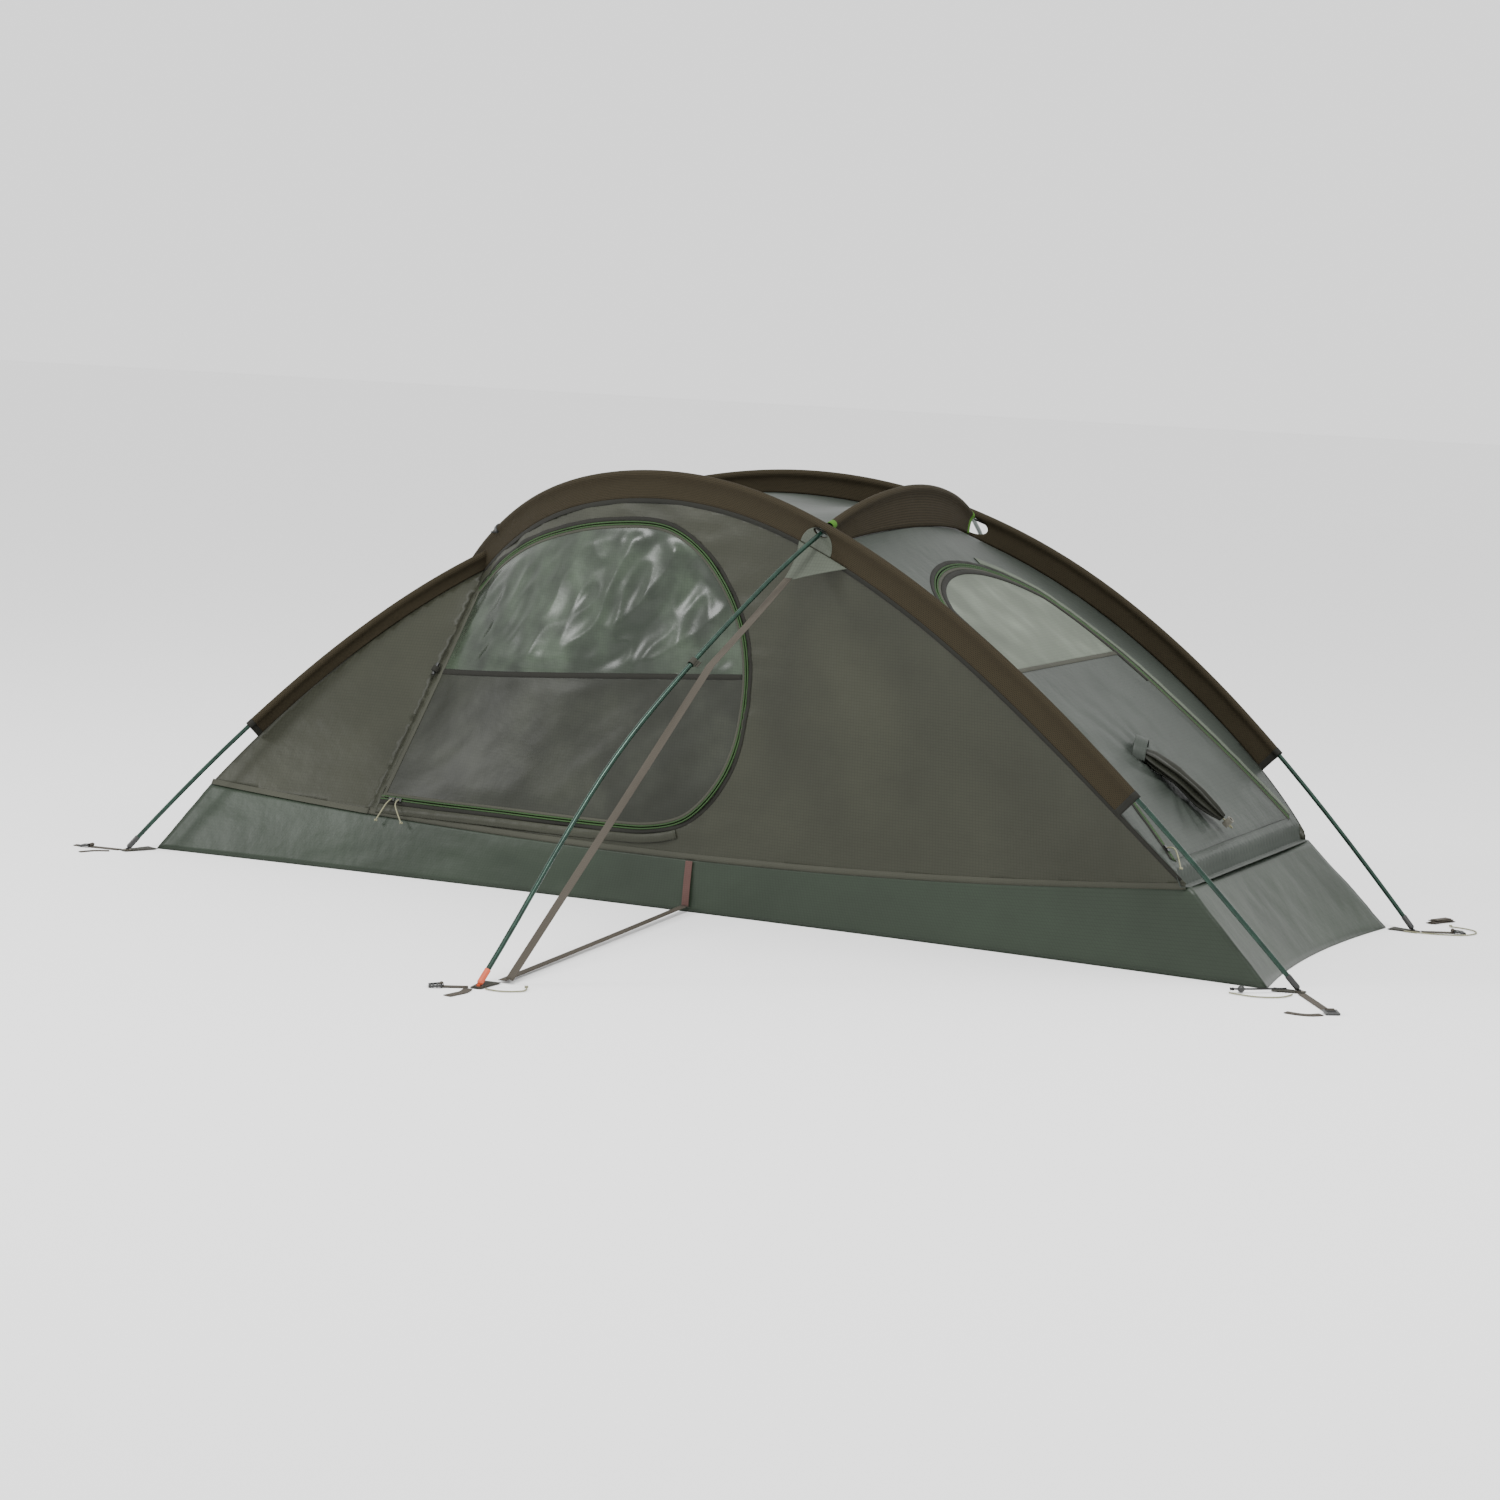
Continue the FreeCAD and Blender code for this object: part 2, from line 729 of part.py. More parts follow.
MESH = size("mesh_thick")
total_a, total_b, total_c = LINE_A.length(), LINE_B.length(), LINE_C.length()
cross_a = distance_along(LINE_A, meet_a)
heading_a = tangent(LINE_A, LINE_A.parameter(meet_a))
heading_c_near = tangent(LINE_C, LINE_C.parameter(meet_bc_c))
heading_c_far = tangent(LINE_C, LINE_C.parameter(meet_ac_c))
passage_b = [hole_cutter(meet_a, heading_a, 9.0), hole_cutter(meet_bc_c, heading_c_near, 15.0)]
passage_a = [hole_cutter(meet_ac_c, heading_c_far, 15.0)]
until_a, until_b = total_a - SLEEVE_UNTIL, total_b - SLEEVE_UNTIL

tube_b = sleeve_tube(pole_b, SLEEVE_FROM, until_b, size("sleeve_radius"))
web_b = web(LINE_B, SEAM_B.value, SLEEVE_FROM, until_b, MESH, 25)
for cutter in passage_b + pole_room(pole_b, SLEEVE_FROM, until_b):
    web_b = web_b.cut(cutter)
group("sleeve_b", tube_b + web_b.Solids)

tube_a = sleeve_tube(pole_a, SLEEVE_FROM, until_a, size("sleeve_radius"))
web_a = web(LINE_A, far_seam, SLEEVE_FROM, cross_a - 21, MESH, 23)
for cutter in passage_a:
    web_a = web_a.cut(cutter)
web_a_foot = web(LINE_A, far_seam, cross_a + 27, until_a, MESH, 7)
group("sleeve_a", tube_a + web_a.Solids + [web_a_foot])


def binding(pole, curve, seam, low, high, side=Vector(0, -1, 0)):
    parts = sleeve_tube(pole, low, high, size("sleeve_radius") + 0.8)
    return parts + [web(curve, seam, low, high, MESH + 1.0, 3, side)]


ends = []
for pole, curve, seam, until in ((pole_a, LINE_A, far_seam, until_a),
                                 (pole_b, LINE_B, SEAM_B.value, until_b)):
    ends += binding(pole, curve, seam, SLEEVE_FROM - BINDING, SLEEVE_FROM - 0.3)
    ends += binding(pole, curve, seam, until + 0.3, until + BINDING)
group("sleeve_end_bindings", ends)

SLEEVE_C_FROM = distance_along(LINE_C, meet_bc_c) + 34.0


def roof_below(t):
    """Where the hang line of the short pole meets the roof."""
    start = LINE_C.value(t)
    hang = inward(tangent(LINE_C, t))
    hit = roof_skin.section(Part.makeLine(start, start + hang * 200))
    return hit.Vertexes[0].Point


until_c = total_c - SLEEVE_C_FROM
HEADWARD = Vector(1, 0, 0)
group("sleeve_c", sleeve_tube(pole_c, SLEEVE_C_FROM, until_c, size("sleeve_radius"))
      + [web(LINE_C, roof_below, SLEEVE_C_FROM, until_c, MESH, 11, HEADWARD)])
group("sleeve_c_bindings",
      binding(pole_c, LINE_C, roof_below, SLEEVE_C_FROM - BINDING, SLEEVE_C_FROM - 0.3, HEADWARD)
      + binding(pole_c, LINE_C, roof_below, until_c + 0.3, until_c + BINDING, HEADWARD))


# ---------------------------------------------------------------- hardware patterns
D = "Dimensions."


def axes_frame(origin, x_axis, z_hint):
    """Placement with its own X along x_axis and its Z as near z_hint as it can be."""
    x_dir = Vector(x_axis).normalize()
    y_dir = z_hint.cross(x_dir).normalize()
    z_dir = x_dir.cross(y_dir)
    matrix = FreeCAD.Matrix(x_dir.x, y_dir.x, z_dir.x, origin.x,
                            x_dir.y, y_dir.y, z_dir.y, origin.y,
                            x_dir.z, y_dir.z, z_dir.z, origin.z,
                            0, 0, 0, 1)
    return Placement(matrix)


def bind(obj, **rules):
    for name, rule in rules.items():
        obj.setExpression(name, rule)
    return obj


def cylinder(name, radius, height):
    obj = doc.addObject("Part::Cylinder", name)
    return bind(obj, Radius=radius, Height=height)


def boolean(kind, name, base, tool):
    obj = doc.addObject("Part::" + kind, name)
    obj.Base = base
    obj.Tool = tool
    return obj


def placed(shape, placement):
    copy = shape.copy()
    copy.Placement = placement.multiply(copy.Placement)
    return copy


def origin_plane(body, role):
    for item in body.Origin.OriginFeatures:
        if item.Role == role:
            return item
    raise ValueError(role)


def rectangle_sketch(body, name, boxes):
    """A sketch on the body's ground plane with one driven rectangle for each box."""
    sketch = body.newObject("Sketcher::SketchObject", name)
    sketch.AttachmentSupport = [(origin_plane(body, "XY_Plane"), "")]
    sketch.MapMode = "FlatFace"
    corners = [(0, 0), (1, 0), (1, 1), (0, 1)]
    for number, (left, low, wide, tall) in enumerate(boxes):
        first = number * 4
        for (ax, ay), (bx, by) in zip(corners, corners[1:] + corners[:1]):
            sketch.addGeometry(Part.LineSegment(Vector(ax + 9 * number, ay, 0),
                                                Vector(bx + 9 * number, by, 0)), False)
        for i in range(4):
            sketch.addConstraint(Sketcher.Constraint("Coincident", first + i, 2,
                                                     first + (i + 1) % 4, 1))
        sketch.addConstraint(Sketcher.Constraint("Horizontal", first))
        sketch.addConstraint(Sketcher.Constraint("Horizontal", first + 2))
        sketch.addConstraint(Sketcher.Constraint("Vertical", first + 1))
        sketch.addConstraint(Sketcher.Constraint("Vertical", first + 3))
        rules = (("DistanceX", first, 1, first, 2, wide),
                 ("DistanceY", first + 1, 1, first + 1, 2, tall),
                 ("DistanceX", -1, 1, first, 1, left),
                 ("DistanceY", -1, 1, first, 1, low))
        for kind, geo_1, end_1, geo_2, end_2, rule in rules:
            index = sketch.addConstraint(
                Sketcher.Constraint(kind, geo_1, end_1, geo_2, end_2, 1.0))
            sketch.setExpression("Constraints[%d]" % index, rule)
    return sketch


def pad(body, name, sketch, length, downwards=False):
    obj = body.newObject("PartDesign::Pad", name)
    obj.Profile = sketch
    obj.Reversed = downwards
    return bind(obj, Length=length)


grommet_outer = cylinder("grommet_outer", D + "grommet_radius", D + "grommet_tall")
grommet_inner = cylinder("grommet_inner", D + "grommet_bore", D + "grommet_tall")
grommet = boolean("Cut", "grommet", grommet_outer, grommet_inner)

tip_sleeve = cylinder("tip_sleeve", D + "tip_radius", D + "tip_long")
tip_knob = doc.addObject("Part::Sphere", "tip_knob")
bind(tip_knob, Radius=D + "tip_radius")
tip_solid = boolean("Fuse", "tip_solid", tip_sleeve, tip_knob)
tip_hole = cylinder("tip_hole", D + "tip_bore", D + "tip_long")
bind(tip_hole, **{"Placement.Base.z": D + "tip_wall"})
tip = boolean("Cut", "tip", tip_solid, tip_hole)

buckle_body = doc.addObject("PartDesign::Body", "buckle")
pad(buckle_body, "buckle_pad", rectangle_sketch(buckle_body, "buckle_outline", [
    ("0", "-" + D + "buckle_wide / 2", D + "buckle_long", D + "buckle_wide"),
    (D + "buckle_bar", "-" + D + "slot_long / 2", D + "slot_wide", D + "slot_long"),
    (D + "buckle_bar * 2 + " + D + "slot_wide", "-" + D + "slot_long / 2",
     D + "slot_wide", D + "slot_long"),
    (D + "buckle_bar * 3 + " + D + "slot_wide * 2", "-" + D + "slot_long / 2",
     D + "slot_wide / 2", D + "slot_long"),
]), D + "buckle_thick")
slider_body = doc.addObject("PartDesign::Body", "slider")
pad(slider_body, "slider_plate", rectangle_sketch(slider_body, "slider_outline", [
    ("-" + D + "slider_long / 2", D + "slider_reach - " + D + "slider_wide",
     D + "slider_long", D + "slider_wide")]), D + "slider_thick")
slider_body.Tip = pad(slider_body, "slider_lip", rectangle_sketch(
    slider_body, "slider_lip_outline", [
        ("-" + D + "slider_long / 2", D + "slider_reach - " + D + "slider_wide",
         D + "slider_long", D + "slider_lip")]), D + "slider_drop", True)

barrel = cylinder("barrel", D + "toggle_radius", D + "toggle_long")
bind(barrel, **{"Placement.Base.z": "-" + D + "toggle_long / 2"})
ball = doc.addObject("Part::Sphere", "ball")
bind(ball, Radius=D + "ball_radius")
ball_hole = cylinder("ball_hole", D + "elastic_radius + 0.5", D + "ball_radius * 2")
bind(ball_hole, **{"Placement.Base.z": "-" + D + "ball_radius"})
bored_ball = boolean("Cut", "bored_ball", ball, ball_hole)
lock_case = cylinder("lock_case", D + "lock_radius", D + "lock_tall")
lock_well = cylinder("lock_well", D + "plunger_radius + 0.3", D + "lock_tall")
bind(lock_well, **{"Placement.Base.z": D + "lock_floor"})
lock_open = boolean("Cut", "lock_open", lock_case, lock_well)
plunger = cylinder("plunger", D + "plunger_radius", D + "plunger_tall")
doc.recompute()

WIDE = size("webbing_wide")
THIN = size("webbing_thick")
FLOOR = 0.3                            # soft parts lie this far above the ground


def strip(start, end, across, wide, thick):
    """A straight flat strap between two points; its width runs along across."""
    along = end - start
    frame = axes_frame(start, along, along.cross(across))
    box = Part.makeBox(along.Length, wide, thick, Vector(0, -wide / 2, -thick / 2))
    return placed(box, frame)


def rounded_route(points):
    """Straight runs joined by tangent arcs as large as the runs allow."""
    edges, radii = [], []
    here = points[0]
    for before, corner, after in zip(points, points[1:], points[2:]):
        arriving = corner - before
        leaving = after - corner
        half_turn = arriving.getAngle(leaving) / 2
        reach = 0.45 * min(arriving.Length, leaving.Length)
        radius = reach / math.tan(half_turn)
        radii.append(radius)
        back, ahead = Vector(arriving).normalize(), Vector(leaving).normalize()
        first, last = corner - back * reach, corner + ahead * reach
        to_centre = (ahead - back).normalize()
        middle = corner + to_centre * (math.hypot(radius, reach) - radius)
        edges.append(Part.LineSegment(here, first).toShape())
        edges.append(Part.Arc(first, middle, last).toShape())
        here = last
    edges.append(Part.LineSegment(here, points[-1]).toShape())
    return Part.Wire(edges), radii


def disc(centre, normal, radius):
    return Part.Face(Part.Wire(Part.makeCircle(radius, centre, normal)))


def cord(label, points, radius):
    """A free round cord along its route."""
    route = [Vector(*p) for p in points]
    wire, radii = rounded_route(route)
    rod = wire.makePipe(disc(route[0], route[1] - route[0], radius))
    expected = math.pi * radius * radius * wire.Length
    print("%s: %.0f long, radii %s, volume ratio %.4f" % (
        label, wire.Length, [round(r) for r in radii], rod.Volume / expected))
    print("   through", [tuple(round(c, 2) for c in p) for p in route])
    return feature(label, rod)


def ribbon(points, wide, low):
    """Webbing lying flat on the ground along a rounded route."""
    wire, _ = rounded_route([Vector(x, y, low + THIN / 2) for x, y in points])
    heading = (Vector(*points[1], 0) - Vector(*points[0], 0)).normalize()
    side = Vector(-heading.y, heading.x, 0) * (wide / 2)
    up = Vector(0, 0, THIN / 2)
    centre = Vector(points[0][0], points[0][1], low + THIN / 2)
    corners = [centre - side - up, centre + side - up, centre + side + up, centre - side + up]
    return wire.makePipe(Part.Face(Part.makePolygon(corners + corners[:1])))


# ---------------------------------------------------------------- feet
class Foot:
    """One pole's end on the ground: tip, grommet, webbing tab, strap and buckle."""

    def __init__(self, curve, at_start, anchor, outward, strap_long):
        t = curve.FirstParameter if at_start else curve.LastParameter
        point = curve.value(t)
        self.ground = Vector(point.x, point.y, 0)
        self.rise = tangent(curve, t) * (1 if at_start else -1)
        self.point = point
        self.anchor = Vector(*anchor, 0)
        self.outward = Vector(*outward, 0).normalize()
        self.side = Vector(-self.outward.y, self.outward.x, 0)
        self.strap_long = strap_long

    def tip(self):
        seat = self.point + self.rise * (8.7 - size("tip_wall"))
        pin = Part.makeCylinder(size("pin_radius"), 5.0, self.ground + Vector(0, 0, 0.4))
        shoe = placed(tip.Shape, Placement(seat, Rotation(Vector(0, 0, 1), self.rise)))
        socket = Part.makeCylinder(size("tip_bore"), size("tip_long"),
                                   self.point + self.rise * 8.7, self.rise)
        return pin.fuse(shoe).cut(socket)

    def grommet(self):
        return placed(grommet.Shape, Placement(self.ground + Vector(0, 0, FLOOR), Rotation()))

    def tab(self):
        """Tapered webbing patch from the groundsheet's corner, with a hole for the grommet."""
        run = self.anchor - self.ground
        across = Vector(-run.y, run.x, 0).normalize()
        far = self.ground - Vector(run).normalize() * 11
        near = self.ground + run
        corners = [near + across * 16, near - across * 16, far - across * 9.5, far + across * 9.5]
        corners = [c + Vector(0, 0, 0.9) for c in corners]
        hole = Part.makeCylinder(size("grommet_radius") + 0.2, 5, self.ground)
        patch = Part.Face(Part.makePolygon(corners + corners[:1]))
        return patch.extrude(Vector(0, 0, THIN)).cut(hole)

    def strap_start(self):
        return self.ground + self.outward * 16.0

    def buckle_axis(self):
        return self.strap_start() + self.outward * self.strap_long + Vector(0, 0, 4.1)

    def strap(self):
        """Webbing from the tab to its loop round the buckle's first bar."""
        low = Vector(0, 0, FLOOR + THIN / 2)
        start = self.strap_start() + low
        end = self.buckle_axis()
        flat = strip(start, Vector(end.x, end.y, low.z), self.side, WIDE, THIN)
        loop = Part.makeCylinder(3.8, WIDE, end - self.side * (WIDE / 2), self.side)
        eye = Part.makeCylinder(2.4, WIDE, end - self.side * (WIDE / 2), self.side)
        return flat.fuse(loop).cut(eye).removeSplitter()

    def buckle(self):
        flat = axes_frame(self.buckle_axis(), self.outward, Vector(0, 0, 1))
        droop = Placement(Vector(), Rotation(Vector(0, 1, 0), 6.5))
        shift = Placement(Vector(-size("buckle_bar") / 2, 0, -size("buckle_thick") / 2), Rotation())
        return placed(buckle_body.Shape, flat.multiply(droop).multiply(shift))

    def tail(self, long):
        """Loose end of webbing lying beyond the buckle."""
        start = self.buckle_axis() + self.outward * (size("buckle_long") + 1.0)
        start.z = FLOOR + THIN / 2
        return strip(start, start + self.outward * long, self.side, WIDE, THIN)


FEET = {
    "head_near": Foot(LINE_B, True, (1106, -372), (0.55, -0.83), 150),
    "head_far": Foot(LINE_A, True, (1106, 372), (0.87, 0.5), 60),
    "foot_near": Foot(LINE_A, False, (-1131, -408), (-1.0, -0.12), 63),
    "foot_far": Foot(LINE_B, False, (-1131, 408), (-1.0, 0.12), 63),
    "side_near": Foot(LINE_C, True, (58, -1150), (-0.85, -0.53), 42),
    "side_far": Foot(LINE_C, False, (58, 1150), (-0.85, 0.53), 42),
}
CORNERS = ["head_near", "head_far", "foot_near", "foot_far"]
SIDES = ["side_near", "side_far"]
group("pole_tips", [FEET[n].tip() for n in CORNERS])
group("short_pole_tips", [FEET[n].tip() for n in SIDES])
group("grommets", [f.grommet() for f in FEET.values()])
group("foot_tabs", [f.tab() for f in FEET.values()])
group("buckle_straps", [f.strap() for f in FEET.values()])
for name, foot in FEET.items():
    feature("buckle_" + name, foot.buckle())
    axis = foot.buckle_axis()
    print("buckle", name, [round(v, 2) for v in axis], [round(v, 4) for v in foot.side])

tails = [ribbon([(1236, -530), (1214, -552), (1182, -548)], WIDE, FLOOR)]
tails += [FEET["foot_near"].tail(12), FEET["foot_far"].tail(12)]
tails += [ribbon([(56, y * 1222), (64, y * 1250), (58, y * 1290)], WIDE, FLOOR)
          for y in (-1, 1)]
tails += [ribbon([(-1172, y * 492), (-1196, y * 512), (-1206, y * 540)], 9, FLOOR)
          for y in (-1, 1)]
BUNDLE = Vector(1166, 505, 0)
for layer, (angle, long) in enumerate(((62, 66), (70, 60), (58, 52), (66, 44))):
    heading = Vector(math.cos(math.radians(angle)), math.sin(math.radians(angle)), 0)
    start = BUNDLE - heading * (long / 2) + Vector(0, 0, FLOOR + THIN / 2 + layer * 1.9)
    tails.append(strip(start, start + heading * long,
                       Vector(-heading.y, heading.x, 0), WIDE, THIN))
group("strap_tails", tails)


# ---------------------------------------------------------------- outrigger straps
def on_curve_x(curve, x, low, high):
    """The curve point at a given x, between two parameters."""
    falling = curve.value(low).x > curve.value(high).x
    for _ in range(50):
        middle = (low + high) / 2
        if (curve.value(middle).x > x) == falling:
            low = middle
        else:
            high = middle
    return curve.value((low + high) / 2)


GUSSET_LOW = Vector(203, -418, 621)
gusset_left = on_curve_x(SEAM_B, 186, 0, 1)
gusset_right = on_curve_x(SEAM_B, 295, 0, 1)
gusset_middle = on_curve_x(SEAM_B, 240, 0, 1)
leaning = (GUSSET_LOW - gusset_middle).normalize()
gusset_points = [gusset_left + leaning * 4, gusset_right + leaning * 4,
                 GUSSET_LOW + Vector(8, 0, 0), GUSSET_LOW - Vector(8, 0, 0)]
flat_normal = (gusset_points[2] - gusset_points[0]).cross(
    gusset_points[3] - gusset_points[0]).normalize()
gusset_points = [p - flat_normal * flat_normal.dot(p - gusset_points[0])
                 for p in gusset_points]
gusset = Part.Face(Part.makePolygon(gusset_points + gusset_points[:1]))
gusset = gusset.extrude(flat_normal * size("cloth_thick"))
group("gussets", [gusset, mirror_shape(gusset)])

TIE = Vector(196, -696, 488)
STRAP_FOOT = Vector(86, -1144, 7.4)
ALONG_X = Vector(1, 0, 0)
upper_start = GUSSET_LOW + (TIE - GUSSET_LOW).normalize() * 2.0
guy_strap = strip(upper_start, TIE, ALONG_X, WIDE, THIN).fuse(
    strip(TIE, STRAP_FOOT, ALONG_X, WIDE, THIN)).removeSplitter()
base_strap = strip(Vector(72, -1142, FLOOR + 2.4 + THIN), Vector(-2, -355, 11),
                   ALONG_X, WIDE, THIN)
group("outrigger_straps", [guy_strap, base_strap,
                           mirror_shape(guy_strap), mirror_shape(base_strap)])

tie_t = LINE_C.parameter(Vector(191, -700, 506))
tie_centre = LINE_C.value(tie_t)
tie_axis = tangent(LINE_C, tie_t)
tie_ring = Part.makeCylinder(6.6, 14, tie_centre - tie_axis * 7, tie_axis)
tie_hole = Part.makeCylinder(4.9, 14, tie_centre - tie_axis * 7, tie_axis)
toward_strap = TIE - tie_centre
toward_strap -= tie_axis * tie_axis.dot(toward_strap)
tie_web = strip(tie_centre + Vector(toward_strap).normalize() * 5.6,
                tie_centre + toward_strap - Vector(toward_strap).normalize() * 5.0,
                tie_axis, 12, THIN)
tie = tie_ring.fuse(tie_web).cut(tie_hole).removeSplitter()
group("pole_ties", [tie, mirror_shape(tie)])


def tape_rule(u, v):
    share_here = 0.5 + 0.0075 * (u - 0.5)
    high = tub_top(share_here)
    low = tub_base(share_here) + Vector(0, 1.5, SHEET + FLOOR_GAP)
    return low + (high - low) * (0.05 + 0.9 * v)


tape = cloth(grid(tape_rule, 3, 5), NEAR, 1.2, 1.6)
group("wall_tapes", [tape, mirror_shape(tape)])

# ---------------------------------------------------------------- roll-up toggle, hook
def wall_point(x, z, off=0.0):
    """A point on the door wall's outer face, pushed outwards by off."""
    here = onto(wall_skin, Vector(x, -300, z), Y_AXIS)
    ahead = onto(wall_skin, Vector(x + 4, -300, z), Y_AXIS)
    above = onto(wall_skin, Vector(x, -300, z + 4), Y_AXIS)
    normal = (ahead - here).cross(above - here).normalize()
    if normal.y > 0:
        normal = normal * -1
    return here + normal * off, normal


print("door hinge", wall_point(-676, 136.5)[0], wall_point(-626, 524)[0])
toggle_centre, toggle_normal = wall_point(-659, 368, 7.4)
toggle_up = (wall_point(-656, 396)[0] - wall_point(-662, 340)[0]).normalize()
toggle_frame = axes_frame(toggle_centre, toggle_normal, toggle_up)
toggle = placed(barrel.Shape, toggle_frame)
loop = Part.makeCylinder(size("toggle_radius") + 1.7, 4, Vector(0, 0, -2))
loop = loop.cut(Part.makeCylinder(size("toggle_radius") + 0.3, 4, Vector(0, 0, -2)))
feature("roll_up_toggle", toggle)
feature("toggle_loop", placed(loop, toggle_frame))
print("toggle", toggle_centre, toggle_normal)

def sleeve_arc_at(pole, x):
    """Centre and direction of the sleeve where it passes a given x."""
    for pair in pole.pairs:
        for arc in pair:
            edge = arc_edge(arc)
            low, high = edge.FirstParameter, edge.LastParameter
            ends = sorted((edge.valueAt(low).x, edge.valueAt(high).x))
            if ends[0] <= x <= ends[1]:
                falling = edge.valueAt(low).x > edge.valueAt(high).x
                for _ in range(50):
                    middle = (low + high) / 2
                    if (edge.valueAt(middle).x > x) == falling:
                        low = middle
                    else:
                        high = middle
                return edge.valueAt(low), edge.tangentAt(low)
    raise ValueError(x)


hook_centre, hook_axis = sleeve_arc_at(pole_b, -598.0)
hook_t = LINE_B.parameter(hook_centre)
hook_out = (hook_centre - SEAM_B.value(hook_t)).normalize()
hook_frame = axes_frame(hook_centre, hook_axis, hook_out)
clip = Part.makeCylinder(9.2, 9, Vector(-4.5, 0, 0), ALONG_X)
clip = clip.cut(Part.makeCylinder(6.9, 9, Vector(-4.5, 0, 0), ALONG_X))
clip = clip.cut(Part.makeBox(9, 8, 20, Vector(-4.5, -4, -20)))
finger = Part.makeBox(4, 12, 3, Vector(-2, 6, -9)).cut(
    Part.makeCylinder(6.9, 9, Vector(-4.5, 0, 0), ALONG_X))
feature("sleeve_hook", placed(clip.fuse(finger).removeSplitter(), hook_frame))

# ---------------------------------------------------------------- zip sliders and pulls
PLATE_OFF = 2.9                        # underside of the slider above the cloth


def slider_on(skin_point, next_point, normal):
    """Frame of a slider: its X along the zip, its Z out of the cloth."""
    frame = axes_frame(skin_point + normal * PLATE_OFF, next_point - skin_point, normal)
    return frame


DOOR_RUN_Z = 136.9
door_start, door_normal = wall_point(-650, DOOR_RUN_Z)
door_end, _ = wall_point(-540, DOOR_RUN_Z)
door_along = (door_end - door_start).normalize()
second_start, _ = wall_point(-634, DOOR_RUN_Z)
print("door slide", door_start, door_along, "normal", door_normal)
for name, seat in (("door_slider_left", door_start), ("door_slider_right", second_start)):
    feature(name, placed(slider_body.Shape, slider_on(seat, seat + door_along, door_normal)))


def head_point(x, y):
    here = onto(head_skin, Vector(x, y, 300), Z_AXIS)
    ahead = onto(head_skin, Vector(x + 4, y, 300), Z_AXIS)
    aside = onto(head_skin, Vector(x, y + 4, 300), Z_AXIS)
    return here, (ahead - here).cross(aside - here).normalize()


leg_low = Vector(892, -329.4, 0)
leg_high = Vector(822, -308.2, 0)
head_start, head_normal = head_point(leg_low.x, leg_low.y)
head_end, _ = head_point(leg_high.x, leg_high.y)
head_along = (head_end - head_start).normalize()
print("head hinge", [head_point(908, y)[0] for y in (0, 150, 300)])
print("head slide", head_start, head_along, (head_end - head_start).Length, head_normal)
feature("head_slider", placed(slider_body.Shape,
                              slider_on(head_start, head_start - head_along, head_normal)))

PULL = size("cord_radius")
PLATE_MIDDLE = size("slider_wide") / 2 - size("slider_reach")
door_up = door_normal.cross(door_along).normalize()
for name, seat, drift in (("door_pull_left", door_start, -14),
                          ("door_pull_right", second_start, 26)):
    root = seat + door_normal * (PLATE_OFF + size("slider_thick")) - door_up * PLATE_MIDDLE
    out = root + Vector(0, -15, -3.5)
    cord(name, [tuple(root), tuple(out),
                (out.x + drift * 0.5, out.y - 9, out.z - 18),
                (out.x + drift, out.y - 16, out.z - 34)], PULL)
head_inward = head_normal.cross(head_start - head_end).normalize()
root = head_start + head_normal * (PLATE_OFF + size("slider_thick")) - head_inward * PLATE_MIDDLE
out = root + Vector(14, -5, 5)
cord("head_pull", [tuple(root), tuple(out), (out.x + 10, out.y - 5, out.z - 16),
                   (out.x + 18, out.y - 13, out.z - 34)], PULL)

# ---------------------------------------------------------------- vent with cord lock
VENT_HIGH, VENT_LOW = (753.0, -104.0), (883.0, -44.0)
VENT_TOP = head_point(*VENT_HIGH)
VENT_END = head_point(*VENT_LOW)
vent_run = (VENT_END[0] - VENT_TOP[0]).normalize()
vent_long = (VENT_END[0] - VENT_TOP[0]).Length
sections = []
for share_here, wide, tall, lift in ((0, 30, 8, 8), (0.12, 56, 20, 13), (0.4, 62, 28, 17),
                                     (0.7, 52, 28, 19), (0.9, 30, 22, 20), (1.0, 15, 14, 21)):
    x = VENT_HIGH[0] + (VENT_LOW[0] - VENT_HIGH[0]) * share_here
    y = VENT_HIGH[1] + (VENT_LOW[1] - VENT_HIGH[1]) * share_here
    here, normal = head_point(x, y)
    frame = axes_frame(here + normal * lift, normal, vent_run)
    ring = Part.Ellipse(Vector(0, 0, 0), wide / 2, tall / 2).toShape()
    turned = Placement(Vector(), Rotation(Vector(0, 0, 1), 90))
    ring.Placement = frame.multiply(turned).multiply(ring.Placement)
    sections.append(Part.Wire([ring]))
    vent_mouth = here + normal * lift
vent = Part.makeLoft(sections, True, False)
feature("vent_sock", vent)

vent_dir = (vent_run + VENT_END[1] * -0.12).normalize()
lock_at = vent_mouth + vent_run * 12.5
across_cord = VENT_END[1].cross(vent_run).normalize()
lock_axis = VENT_END[1]
lock_frame = axes_frame(lock_at - lock_axis * 7.0, vent_run, lock_axis)
through_hole = Part.makeCylinder(size("cord_radius") + 0.5, 40, lock_at - vent_run * 20, vent_run)
flared_exit = Part.makeCone(1.9, 3.8, 7.6, lock_at - vent_run, vent_run)
case = placed(lock_open.Shape, lock_frame).cut(through_hole).cut(flared_exit)
feature("cord_lock_case", case)
button = placed(plunger.Shape, Placement(lock_at - lock_axis * 1.6, lock_frame.Rotation))
slot = Part.makeBox(40, 3.6, 6.0, Vector(-20, -1.8, 7.0 - 1.8))
feature("cord_lock_plunger", button.cut(placed(slot, lock_frame)))
print("lock", lock_at, "run", vent_run, "axis", lock_axis)
p1 = vent_mouth + vent_run * 24
p2 = p1 + across_cord * 21 - lock_axis * 10 + vent_run * 6
p3 = p2 + across_cord * 9 - lock_axis * 3 - vent_run * 14
cord("vent_cord", [tuple(vent_mouth), tuple(p1), tuple(p2), tuple(p3)], PULL)

